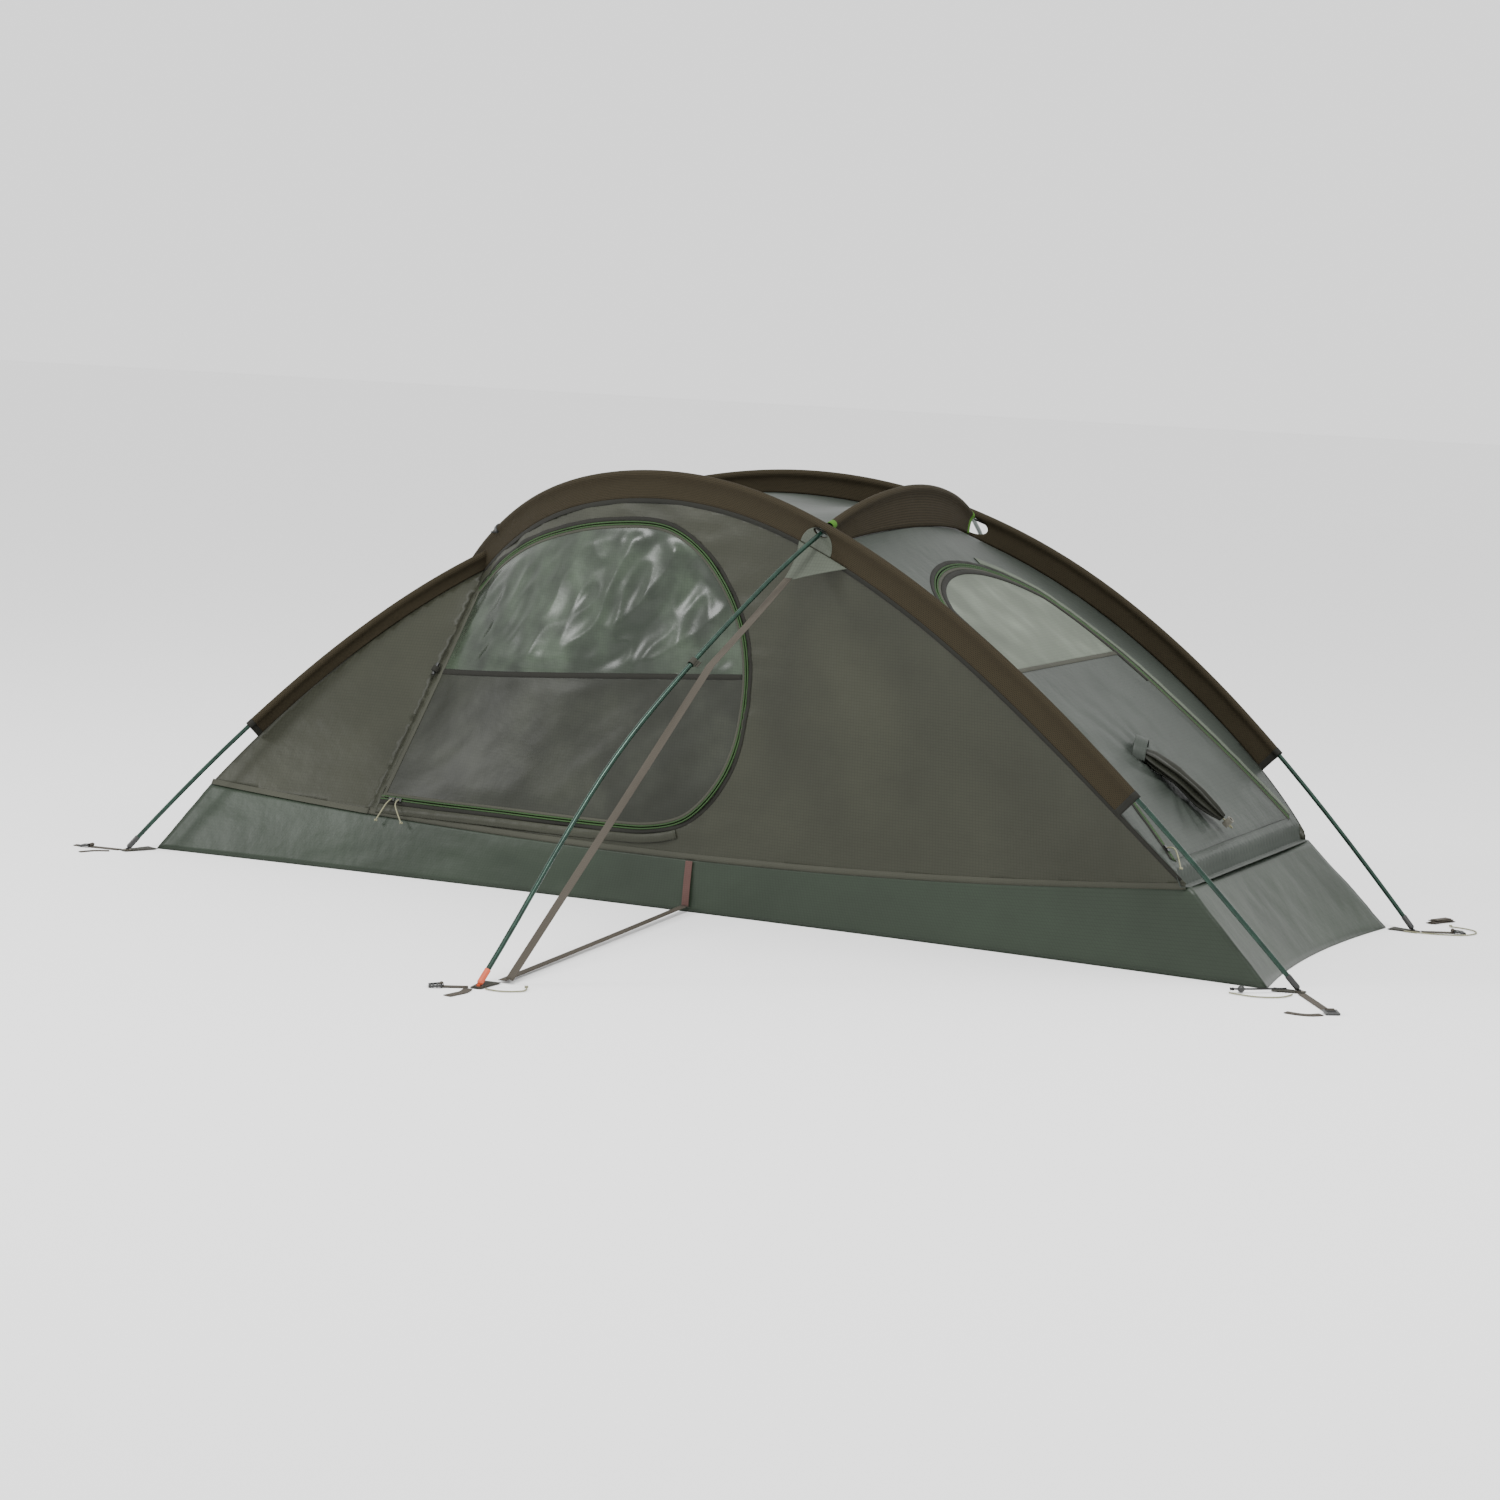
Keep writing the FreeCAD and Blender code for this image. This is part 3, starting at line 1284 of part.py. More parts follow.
# ---------------------------------------------------------------- cords on the ground
BALL_Z = size("ball_radius") + 0.3
cord("corner_elastic", [(1131, -377, BALL_Z), (1098, -412, BALL_Z), (1058, -441, BALL_Z)],
     size("elastic_radius"))
ball_dir = (Vector(1058, -441, BALL_Z) - Vector(1098, -412, BALL_Z)).normalize()
ball_at = Vector(1098, -412, BALL_Z) + ball_dir * 34
feature("ball_toggle", placed(bored_ball.Shape, Placement(
    ball_at, Rotation(Vector(0, 0, 1), ball_dir))))
print("ball", ball_at, ball_dir)
CORD_Z = size("cord_radius") + FLOOR
cord("corner_cord", [(1056, -451, CORD_Z), (1090, -462, CORD_Z), (1122, -452, CORD_Z),
                     (1146, -428, CORD_Z), (1148, -398, CORD_Z)], PULL)
cord("rear_corner_cord", [(1136, 352, CORD_Z), (1172, 352, CORD_Z), (1212, 364, CORD_Z),
                          (1248, 388, CORD_Z), (1257, 428, CORD_Z), (1234, 460, CORD_Z),
                          (1196, 462, CORD_Z)], PULL)
cord("side_cord", [(78, -1206, CORD_Z), (98, -1214, CORD_Z), (124, -1202, CORD_Z),
                   (140, -1180, CORD_Z), (126, -1160, CORD_Z)], PULL)

# ---------------------------------------------------------------- checks and files
doc.recompute()
for obj in doc.Objects:
    if "Invalid" in obj.State or "Error" in obj.State:
        raise SystemExit("bad object: %s %s" % (obj.Name, obj.State))
for obj in nodes:
    if obj.Shape.isNull() or not obj.Shape.isValid():
        raise SystemExit("bad shape: %s" % obj.Label)
    box = obj.Shape.BoundBox
    print("%-24s %3d solids  x %.1f %.1f  y %.1f %.1f  z %.1f %.1f" % (
        obj.Label, len(obj.Shape.Solids),
        box.XMin, box.XMax, box.YMin, box.YMax, box.ZMin, box.ZMax))
os.makedirs("parts", exist_ok=True)
for obj in nodes:
    obj.Shape.exportStep("parts/%s.step" % obj.Label)
print(len(nodes), "sub-parts written")
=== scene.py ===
"""Looks of the tent: camera, cords, cloth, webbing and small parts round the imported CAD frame."""
import math

import bpy
import numpy as np
from mathutils import Matrix, Vector, noise
from mathutils.geometry import delaunay_2d_cdt


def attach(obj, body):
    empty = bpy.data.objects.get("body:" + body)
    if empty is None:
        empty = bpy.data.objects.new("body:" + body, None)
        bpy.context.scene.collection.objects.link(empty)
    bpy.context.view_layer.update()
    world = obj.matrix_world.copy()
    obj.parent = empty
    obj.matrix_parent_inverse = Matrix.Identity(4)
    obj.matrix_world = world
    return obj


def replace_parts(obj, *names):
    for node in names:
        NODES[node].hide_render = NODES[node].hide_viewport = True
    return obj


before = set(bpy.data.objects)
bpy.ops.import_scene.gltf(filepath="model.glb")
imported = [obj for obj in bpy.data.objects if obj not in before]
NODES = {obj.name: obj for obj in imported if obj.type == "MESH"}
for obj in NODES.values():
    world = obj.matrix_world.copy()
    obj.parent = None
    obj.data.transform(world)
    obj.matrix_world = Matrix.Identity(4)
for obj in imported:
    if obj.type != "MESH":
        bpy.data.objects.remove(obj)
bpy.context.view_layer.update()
MM = 0.001

# ---------------------------------------------------------------- camera
VIEW_TURN, VIEW_RISE, VIEW_ROLL = math.radians(25.47), math.radians(7.03), math.radians(2.69)
VIEW_DISTANCE, VIEW_LENS = 6.4417, 81.33
VIEW_TARGET = Vector((-0.0547, 0.0, 0.258))


def add_camera():
    back = Vector((math.sin(VIEW_TURN) * math.cos(VIEW_RISE),
                   -math.cos(VIEW_TURN) * math.cos(VIEW_RISE), math.sin(VIEW_RISE)))
    right = (-back).cross(Vector((0, 0, 1))).normalized()
    up = right.cross(-back)
    turned_right = right * math.cos(VIEW_ROLL) + up * math.sin(VIEW_ROLL)
    turned_up = up * math.cos(VIEW_ROLL) - right * math.sin(VIEW_ROLL)
    data = bpy.data.cameras.new("camera")
    data.lens = VIEW_LENS
    data.sensor_width = 36.0
    data.clip_end = 60.0
    camera = bpy.data.objects.new("camera", data)
    place = Matrix((turned_right, turned_up, back)).transposed().to_4x4()
    place.translation = VIEW_TARGET + back * VIEW_DISTANCE
    camera.matrix_world = place
    bpy.context.scene.collection.objects.link(camera)
    bpy.context.scene.camera = camera


add_camera()


# ---------------------------------------------------------------- materials
def new_material(name, colour, rough, metallic=0.0, specular=0.5):
    material = bpy.data.materials.new(name)
    material.use_nodes = True
    shader = material.node_tree.nodes["Principled BSDF"]
    shader.inputs["Base Color"].default_value = (*colour, 1)
    shader.inputs["Roughness"].default_value = rough
    shader.inputs["Metallic"].default_value = metallic
    shader.inputs["Specular IOR Level"].default_value = specular
    return material


class Nodes:
    """Short forms for wiring shader nodes in one material."""

    def __init__(self, material):
        self.tree = material.node_tree
        self.shader = self.tree.nodes["Principled BSDF"]

    def add(self, kind, **values):
        node = self.tree.nodes.new(kind)
        for name, value in values.items():
            setattr(node, name, value)
        return node

    def link(self, source, target):
        self.tree.links.new(source, target)

    def coordinates(self, scale, flat=False):
        """Object-space points, or points on the cut cloth, stretched by scale."""
        if flat:
            source = self.add("ShaderNodeAttribute", attribute_name="flat").outputs["Vector"]
        else:
            source = self.add("ShaderNodeTexCoord").outputs["Object"]
        mapping = self.add("ShaderNodeMapping")
        mapping.inputs["Scale"].default_value = scale
        self.link(source, mapping.inputs["Vector"])
        return mapping.outputs["Vector"]

    def noise(self, scale, detail=2.0, flat=False, stretch=(1, 1, 1)):
        node = self.add("ShaderNodeTexNoise")
        node.inputs["Scale"].default_value = scale
        node.inputs["Detail"].default_value = detail
        self.link(self.coordinates(stretch, flat), node.inputs["Vector"])
        return node.outputs["Fac"]

    def ramp(self, factor, stops):
        node = self.add("ShaderNodeValToRGB")
        ramp = node.color_ramp
        while len(ramp.elements) < len(stops):
            ramp.elements.new(0.5)
        for element, (place, colour) in zip(ramp.elements, stops):
            element.position = place
            element.color = (*colour, 1)
        self.link(factor, node.inputs["Fac"])
        return node.outputs["Color"]

    def multiply(self, first, second, share=1.0):
        node = self.add("ShaderNodeMix", data_type="RGBA", blend_type="MULTIPLY")
        node.inputs["Factor"].default_value = share
        self.link(first, node.inputs[6])
        self.link(second, node.inputs[7])
        return node.outputs[2]

    def colour(self, output):
        self.link(output, self.shader.inputs["Base Color"])

    def bump(self, height, strength, distance):
        node = self.add("ShaderNodeBump")
        node.inputs["Strength"].default_value = strength
        node.inputs["Distance"].default_value = distance
        self.link(height, node.inputs["Height"])
        if self.shader.inputs["Normal"].links:
            self.link(self.shader.inputs["Normal"].links[0].from_socket, node.inputs["Normal"])
        self.link(node.outputs["Normal"], self.shader.inputs["Normal"])


def shaded(colour, amount):
    return tuple(c * amount for c in colour)


def cloth_material(name, colour, rough=0.55, weave=2.2, varied=0.16, specular=0.2,
                   crease=0.5, thin=0.0, painted_fold_highlights=0.0):
    """Woven cloth: ripstop squares (size set by weave), soft colour drift and small creases;
    painted_fold_highlights paints light streaks along folds, with painted shade between, standing
    in for light the wrinkles catch.
    """
    material = new_material(name, colour, rough, specular=specular)
    nodes = Nodes(material)
    drift = nodes.ramp(nodes.noise(5.0, 4.0), [(0.3, shaded(colour, 1 - varied)),
                                               (0.7, shaded(colour, 1 + varied))])
    threads = nodes.add("ShaderNodeTexBrick", offset=0.0, squash=1.0)
    threads.inputs["Scale"].default_value = 1000 / weave / 5
    threads.inputs["Color1"].default_value = (1, 1, 1, 1)
    threads.inputs["Color2"].default_value = (1, 1, 1, 1)
    threads.inputs["Mortar"].default_value = (0.82, 0.82, 0.82, 1)
    threads.inputs["Mortar Size"].default_value = 0.04
    threads.inputs["Brick Width"].default_value = 0.5
    threads.inputs["Row Height"].default_value = 0.5
    nodes.link(nodes.coordinates((1, 1, 1), True), threads.inputs["Vector"])
    woven = nodes.multiply(drift, threads.outputs["Color"])
    # Painted highlight: noise streaks along folds are lightened, and the troughs between them
    # darkened as painted shade, in place of light caught by wrinkles.
    if painted_fold_highlights:
        folds = nodes.noise(16.0, 5.0, stretch=(0.75, 1.0, 0.75))
        woven = nodes.multiply(woven, nodes.ramp(folds, [(0.40, (1 - painted_fold_highlights,) * 3),
                                                         (0.52, (1, 1, 1)),
                                                         (0.70, (1 + 2 * painted_fold_highlights,) * 3)]))
    nodes.colour(woven)
    nodes.bump(nodes.noise(28.0, 5.0), crease, 0.004)
    if thin:
        add_glow(nodes, colour, thin)
    return material


def add_glow(nodes, colour, amount):
    """Thin cloth lets some light through from behind."""
    output = nodes.tree.nodes["Material Output"]
    glow = nodes.add("ShaderNodeBsdfTranslucent")
    glow.inputs["Color"].default_value = (*shaded(colour, GLOW_GAIN), 1)
    mix = nodes.add("ShaderNodeMixShader")
    mix.inputs["Fac"].default_value = amount
    nodes.link(nodes.shader.outputs["BSDF"], mix.inputs[1])
    nodes.link(glow.outputs["BSDF"], mix.inputs[2])
    nodes.link(mix.outputs["Shader"], output.inputs["Surface"])


GLOW_GAIN = 2.2
WALL_COLOUR = (0.034, 0.0355, 0.0245)
HEAD_COLOUR = (0.042, 0.050, 0.042)
TUB_COLOUR = (0.019, 0.028, 0.0175)
wall_cloth = cloth_material("wall_cloth", WALL_COLOUR, rough=0.45, thin=0.12)
head_cloth = cloth_material("head_cloth", HEAD_COLOUR, rough=0.45, thin=0.12)
tub_cloth = cloth_material("tub_cloth", TUB_COLOUR, rough=0.40, specular=0.25, crease=0.3)
film_cloth = cloth_material("film_cloth", (0.034, 0.047, 0.031), rough=0.27, specular=0.4,
                            crease=0.15, thin=0.2, painted_fold_highlights=0.35)
window_cloth = cloth_material("window_cloth", (0.145, 0.165, 0.132), rough=0.6, thin=0.25,
                              painted_fold_highlights=0.12)
leaf_cloth = cloth_material("leaf_cloth", (0.024, 0.026, 0.0195), rough=0.42, crease=0.3,
                            thin=0.1, painted_fold_highlights=0.15)
tape_cloth = cloth_material("tape_cloth", (0.040, 0.041, 0.030), rough=0.7, weave=1.2)
binding_dark = cloth_material("binding_dark", (0.012, 0.012, 0.009), rough=0.75, weave=1.2)
binding_green = cloth_material("binding_green", (0.05, 0.14, 0.012), rough=0.7, weave=1.2)
zip_green = cloth_material("zip_green", (0.026, 0.058, 0.018), rough=0.5, weave=1.2)
webbing = cloth_material("webbing", (0.060, 0.052, 0.041), rough=0.75, weave=1.4, varied=0.1)
webbing_dark = cloth_material("webbing_dark", (0.035, 0.034, 0.026), rough=0.75, weave=1.4)
webbing_pale = cloth_material("webbing_pale", (0.090, 0.105, 0.080), rough=0.7, weave=1.4)
webbing_pink = cloth_material("webbing_pink", (0.075, 0.040, 0.034), rough=0.75, weave=1.4)
patch_cloth = cloth_material("patch_cloth", (0.066, 0.075, 0.058), rough=0.6)
vent_cloth = cloth_material("vent_cloth", (0.013, 0.014, 0.009), rough=0.5, crease=0.4)


def honeycomb_material(name, colour):
    """Knitted spacer mesh with staggered holes."""
    material = new_material(name, colour, 0.8, specular=0.1)
    nodes = Nodes(material)
    cells = nodes.add("ShaderNodeTexBrick", offset=0.5)
    cells.inputs["Scale"].default_value = 100.0
    cells.inputs["Color1"].default_value = (*shaded(colour, 0.55), 1)
    cells.inputs["Color2"].default_value = (*shaded(colour, 0.7), 1)
    cells.inputs["Mortar"].default_value = (*shaded(colour, 1.35), 1)
    cells.inputs["Mortar Size"].default_value = 0.09
    cells.inputs["Mortar Smooth"].default_value = 0.3
    cells.inputs["Brick Width"].default_value = 0.42
    cells.inputs["Row Height"].default_value = 0.3
    nodes.link(nodes.coordinates((1, 1, 1), True), cells.inputs["Vector"])
    nodes.colour(cells.outputs["Color"])
    nodes.bump(cells.outputs["Fac"], 0.6, 0.0008)
    nodes.bump(nodes.noise(14.0, 3.0), 0.35, 0.006)
    return material


honeycomb = honeycomb_material("honeycomb", (0.023, 0.0185, 0.0105))


# ---------------------------------------------------------------- pole and seam lines, mm
def distance_along(points):
    """Distance from the first point to each point, along a broken line."""
    steps = np.linalg.norm(np.diff(points, axis=0), axis=1)
    return np.concatenate([[0], np.cumsum(steps)])


class Line:
    """Clamped cubic through its end points, guided by the points between."""

    def __init__(self, points):
        self.points = np.array(points, float)
        count = len(self.points)
        self.knots = np.concatenate([[0] * 3, np.linspace(0, 1, count - 2), [1] * 3])
        self.table_t = np.linspace(0, 1, 1601)
        self.table_s = distance_along(self.value(self.table_t))
        self.length = self.table_s[-1]

    def value(self, t):
        """Points at parameters t, from 0 to 1, by the usual spline recursion."""
        t = np.clip(np.atleast_1d(np.asarray(t, float)), 0, 1 - 1e-9)
        knots, count = self.knots, len(self.points)
        weights = [((t >= knots[i]) & (t < knots[i + 1])).astype(float)
                   for i in range(count + 3)]
        for degree in (1, 2, 3):
            fresh = []
            for i in range(count + 3 - degree):
                total = np.zeros_like(t)
                left = knots[i + degree] - knots[i]
                right = knots[i + degree + 1] - knots[i + 1]
                if left > 0:
                    total = total + (t - knots[i]) / left * weights[i]
                if right > 0:
                    total = total + (knots[i + degree + 1] - t) / right * weights[i + 1]
                fresh.append(total)
            weights = fresh
        return np.stack(weights, -1) @ self.points

    def tangent(self, t):
        t = np.atleast_1d(np.asarray(t, float))
        step = 1e-4
        ahead = self.value(np.clip(t + step, 0, 1)) - self.value(np.clip(t - step, 0, 1))
        return ahead / np.linalg.norm(ahead, axis=-1, keepdims=True)

    def at_length(self, distance):
        return np.interp(distance, self.table_s, self.table_t)

    def length_at(self, t):
        return np.interp(t, self.table_t, self.table_s)


UP = np.array([0, 0, 1.0])
REACH, TOP, GROUND = 1150.0, 787.0, 4.0
HEAD_SIDE, FOOT_SIDE, OUT, BAND_DEPTH = 365.0, 465.0, 1200.0, 45.0
LONG_POLE = [(1.0, -HEAD_SIDE, None), (0.77, -410.0, 0.365), (0.52, -420.0, 0.686),
             (0.25, -380.0, 0.9), (0.005, -285.0, 1.0), (-0.25, -225.0, 0.993),
             (-0.51, -75.0, 0.864), (-0.77, 210.0, 0.546), (-1.0, FOOT_SIDE, None)]
LOWER = [0, 0, 0, 0, 0, -12.0, -27.0, -14.0, 0]
SHORT_POLE = [(62.0, -OUT, GROUND), (90.0, -1070.0, 146.0), (106.0, -913.0, 326.0),
              (177.0, -662.0, 526.0), (261.0, -268.0, 785.0)]
MIRROR = np.array([1.0, -1.0, 1.0])


def long_pole(side, lowered):
    return [(share * REACH, side * offset, (GROUND if rise is None else rise * TOP) + drop)
            for (share, offset, rise), drop in zip(LONG_POLE, lowered)]


LINE_B = Line(long_pole(1, [0] * 9))
LINE_A = Line(long_pole(-1, LOWER))
LINE_C = Line(SHORT_POLE + [(x, -y, z) for x, y, z in reversed(SHORT_POLE)])
TUB_FOOT, TUB_MIDDLE, TUB_HEAD = (np.array(p, float) for p in (
    (-1053, -325, 130), (-2, -340, 97), (944, -350, 152)))
BASE_FOOT, BASE_MIDDLE, BASE_HEAD = (np.array(p, float) for p in (
    (-1124, -404, 0), (-2, -350, 0), (1097, -372, 0)))


def unit(v):
    return v / np.linalg.norm(v, axis=-1, keepdims=True)


def hang(line, t):
    """From a pole towards the canopy, square to the pole."""
    along = line.tangent(t)
    return -unit(UP - along * (along @ UP)[..., None])


def seam_line(line, start, end):
    """Where the canopy is sewn to a sleeve: the pole's line moved in by the band's depth."""
    moved = [start]
    for i in range(1, len(line.points) - 1):
        station = line.knots[i + 1:i + 4].mean()
        moved.append(line.points[i] + hang(line, station)[0] * BAND_DEPTH)
    moved.append(end)
    return Line(moved)


SEAM_B = seam_line(LINE_B, TUB_HEAD, TUB_FOOT * MIRROR)
SEAM_A = Line(SEAM_B.points * MIRROR)


def centre_crossing(line):
    """Where a seam passes over the tent's middle plane, towards the foot end."""
    t = np.linspace(0.6, 0.95, 3001)
    return t[np.argmin(np.abs(line.value(t)[:, 1]))]


CROSS = centre_crossing(SEAM_B)
SEAM_SHARE = 0.166
HEAD_START = 0.57
RIDGE_HEIGHT, RIDGE_WIDTH = 48.0, 0.085


def through(p, q, r, share):
    """A parabola through three points, at shares 0, a half and 1."""
    share = np.asarray(share, float)[..., None]
    return (p * ((1 - share) * (1 - 2 * share)) + q * (4 * share * (1 - share))
            + r * (share * (2 * share - 1)))


def tub_top(share):
    return through(TUB_FOOT, TUB_MIDDLE, TUB_HEAD, share)


def tub_base(share):
    return through(BASE_FOOT, BASE_MIDDLE, BASE_HEAD, share)


def mixed(low, high, share):
    return low + (high - low) * np.asarray(share)[..., None]


def wall(u, v):
    """Door wall: u from the foot end to the head end, v from the groundsheet up."""
    return mixed(tub_top(SEAM_SHARE + (1 - SEAM_SHARE) * u), SEAM_B.value(CROSS * (1 - u)), v)


def gore(u, v):
    """Triangle at the foot end: u towards the head end, v from the groundsheet up."""
    return mixed(tub_top(SEAM_SHARE * u), SEAM_A.value(1 - (1 - CROSS) * u), v)


def roof(u, v):
    """Roof: u from the door side across, v from the crossing to the head end.

    The short pole lifts the middle of the cloth into a ridge where it passes over.
    """
    near, far = SEAM_B.value(CROSS * (1 - v)), SEAM_A.value(CROSS * (1 - v))
    point = mixed(near, far, u)
    ridge = RIDGE_HEIGHT * np.exp(-((v - HEAD_START) / RIDGE_WIDTH) ** 2)
    point[..., 2] += ridge * 4 * u * (1 - u)
    return point


def foot_slope(u, v):
    """Foot panel: u from one side across, v from the foot end up to the crossing."""
    share = 1 - (1 - CROSS) * v
    return mixed(SEAM_A.value(share), SEAM_B.value(share), u)


# ---------------------------------------------------------------- mesh building
def make_mesh(name, points, faces, material, body="tent", flat=None, thick=0.0):
    """A smooth mesh piece from points in mm, riding on a CAD body."""
    data = bpy.data.meshes.new(name)
    data.from_pydata((np.asarray(points, float) * MM).tolist(), [],
                     [tuple(int(i) for i in f) for f in faces])
    data.update()
    if flat is not None:
        layer = data.attributes.new("flat", "FLOAT_VECTOR", "POINT")
        values = np.zeros((len(points), 3), np.float32)
        values[:, :2] = np.asarray(flat, float)[:, :2] * MM
        layer.data.foreach_set("vector", values.ravel())
    data.polygons.foreach_set("use_smooth", [True] * len(data.polygons))
    piece = bpy.data.objects.new(name, data)
    bpy.context.scene.collection.objects.link(piece)
    data.materials.append(material)
    if thick:
        solid = piece.modifiers.new("thickness", "SOLIDIFY")
        solid.thickness = thick * MM
        solid.offset = -1.0
    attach(piece, body)
    return piece


def piece_called(name):
    return bpy.data.objects[name]


def faced(faces, points, aim):
    """Faces turned over if, taken together, they look away from the aim."""
    corners = points[faces[:, :3]]
    facing = np.cross(corners[:, 1] - corners[:, 0], corners[:, 2] - corners[:, 0]).sum(0)
    return faces[:, ::-1] if facing @ aim < 0 else faces


def grid_faces(rows, columns, closed=False):
    """Four-cornered faces over a grid of points; closed joins each row's ends."""
    faces = []
    for i in range(rows - 1):
        for j in range(columns if closed else columns - 1):
            k = (j + 1) % columns
            faces.append((i * columns + j, i * columns + k,
                          (i + 1) * columns + k, (i + 1) * columns + j))
    return faces


def resample(points, spacing, closed=False):
    """Points at even steps along a broken line."""
    points = np.asarray(points, float)
    if closed:
        points = np.vstack([points, points[:1]])
    along = distance_along(points)
    count = max(3, int(round(along[-1] / spacing)) + 1)
    places = np.linspace(0, along[-1], count)
    result = np.stack([np.interp(places, along, points[:, k])
                       for k in range(points.shape[1])], -1)
    return result[:-1] if closed else result


def catmull(points, closed=False, fine=24):
    """Smooth line through the points."""
    points = np.asarray(points, float)
    if closed:
        padded = np.vstack([points[-1:], points, points[:2]])
    else:
        padded = np.vstack([2 * points[0] - points[1], points, 2 * points[-1] - points[-2]])
    steps = np.linspace(0, 1, fine, endpoint=False)[:, None]
    pieces = []
    for a, b, c, d in zip(padded, padded[1:], padded[2:], padded[3:]):
        pieces.append(0.5 * (2 * b + (c - a) * steps + (2 * a - 5 * b + 4 * c - d) * steps ** 2
                             + (3 * b - a - 3 * c + d) * steps ** 3))
    if not closed:
        pieces.append(points[-1:])
    return np.vstack(pieces)


def inside(points, outline):
    """Which points lie inside a closed outline."""
    x, y = points[:, 0][:, None], points[:, 1][:, None]
    x0, y0 = outline[:, 0][None], outline[:, 1][None]
    x1, y1 = np.roll(x0, -1), np.roll(y0, -1)
    crossing = (y0 > y) != (y1 > y)
    height = np.where(y1 == y0, 1e-9, y1 - y0)
    hits = crossing & (x < (x1 - x0) * (y - y0) / height + x0)
    return hits.sum(1) % 2 == 1


def edge_distance(points, outline):
    """Shortest distance from each point to an outline."""
    start = outline[None]
    run = np.roll(outline, -1, axis=0)[None] - start
    offset = points[:, None] - start
    share = np.clip((offset * run).sum(-1) / np.maximum((run * run).sum(-1), 1e-9), 0, 1)
    return np.linalg.norm(offset - run * share[..., None], axis=-1).min(1)


ROW_STEP = 0.866
EDGE_GAP = 0.45


def fill(outline, spacing, holes=()):
    """Triangles over a flat outline: even interior points and exact edges.

    Rows of points are ROW_STEP of the spacing apart, so that the triangles have even
    sides, and no inner point comes nearer to an edge than EDGE_GAP of the spacing.
    """
    low, high = outline.min(0), outline.max(0)
    rows = []
    height = spacing * ROW_STEP
    for i, y in enumerate(np.arange(low[1], high[1], height)):
        shift = spacing / 2 if i % 2 else 0.0
        xs = np.arange(low[0] + shift, high[0], spacing)
        rows.append(np.stack([xs, np.full_like(xs, y)], -1))
    points = np.vstack(rows)
    gap = spacing * EDGE_GAP
    keep = inside(points, outline) & (edge_distance(points, outline) > gap)
    for hole in holes:
        keep &= ~inside(points, hole) & (edge_distance(points, hole) > gap)
    inner = points[keep]
    loops = [outline, *holes]
    border = np.vstack(loops)
    edges, first = [], 0
    for loop in loops:
        count = len(loop)
        edges += [(first + i, first + (i + 1) % count) for i in range(count)]
        first += count
    everything = np.vstack([border, inner])
    result = delaunay_2d_cdt([Vector(p) for p in everything], edges, [], 0, 1e-6)
    points = np.array([tuple(p) for p in result[0]])
    faces = np.array(result[2])
    centres = points[faces].mean(1)
    keep = inside(centres, outline)
    for hole in holes:
        keep &= ~inside(centres, hole)
    return points, faces[keep]


class Sheet:
    """A curved sheet seen in plan or side view, so flat outlines can be laid on it."""

    def __init__(self, rule, axes, outward):
        self.rule, self.axes = rule, axes
        self.outward = np.array(outward, float)
        u, v = np.meshgrid(np.linspace(0, 1, 90), np.linspace(0, 1, 40), indexing="ij")
        self.seeds_uv = np.stack([u.ravel(), v.ravel()], -1)
        self.seeds = rule(u.ravel(), v.ravel())[:, axes]

    def locate(self, flat):
        """Sheet coordinates of points given in the flat view."""
        result = np.zeros((len(flat), 2))
        for start in range(0, len(flat), 2000):
            part = flat[start:start + 2000]
            gap = ((part[:, None] - self.seeds[None]) ** 2).sum(-1)
            uv = self.seeds_uv[gap.argmin(1)].copy()
            for _ in range(12):
                here = self.rule(uv[:, 0], uv[:, 1])[:, self.axes]
                step = 1e-4
                du = (self.rule(uv[:, 0] + step, uv[:, 1])[:, self.axes] - here) / step
                dv = (self.rule(uv[:, 0], uv[:, 1] + step)[:, self.axes] - here) / step
                miss = part - here
                spread = du[:, 0] * dv[:, 1] - du[:, 1] * dv[:, 0]
                spread = np.where(np.abs(spread) < 1e-3, 1e-3, spread)
                uv[:, 0] += np.clip((miss[:, 0] * dv[:, 1] - miss[:, 1] * dv[:, 0]) / spread,
                                    -0.1, 0.1)
                uv[:, 1] += np.clip((miss[:, 1] * du[:, 0] - miss[:, 0] * du[:, 1]) / spread,
                                    -0.1, 0.1)
                uv = np.clip(uv, -0.02, 1.02)
            result[start:start + 2000] = uv
        return result

    def lift(self, flat):
        """Points on the sheet and its outward normals there."""
        flat = np.asarray(flat, float)
        uv = self.locate(flat)
        here = self.rule(uv[:, 0], uv[:, 1])
        step = 2e-3
        across = self.rule(uv[:, 0] + step, uv[:, 1]) - self.rule(uv[:, 0] - step, uv[:, 1])
        along = self.rule(uv[:, 0], uv[:, 1] + step) - self.rule(uv[:, 0], uv[:, 1] - step)
        normal = np.cross(across, along)
        normal = unit(np.where(np.abs(normal).sum(-1, keepdims=True) < 1e-9,
                               self.outward, normal))
        normal *= np.sign(normal @ self.outward)[:, None]
        here[:, self.axes] = flat
        return here, normal


def soft_noise(points, size, seed=0.0, stretch=(1, 1, 1)):
    """Smooth noise from -1 to 1 at points in mm, with features of about the given size."""
    scaled = points / size * np.array(stretch) + seed
    return np.array([noise.noise(Vector(p)) for p in scaled])


def ridged(points, size, seed=0.0, stretch=(1, 1, 1)):
    """Noise with sharp crests, as in crumpled film."""
    return 1 - np.abs(soft_noise(points, size, seed, stretch)) * 2.6


wall_sheet = Sheet(wall, [0, 2], (0, -1, 0.3))
gore_sheet = Sheet(gore, [0, 2], (0, -1, 0.3))
roof_sheet = Sheet(roof, [0, 1], (0.5, 0, 1))


# ---------------------------------------------------------------- cords
cord_cloth = cloth_material("cord_cloth", (0.24, 0.235, 0.15), rough=0.7, weave=0.8, varied=0.1)
elastic_cloth = cloth_material("elastic_cloth", (0.012, 0.012, 0.012), rough=0.6, weave=0.8)


def metres(points):
    return [tuple(c * MM for c in p) for p in points]


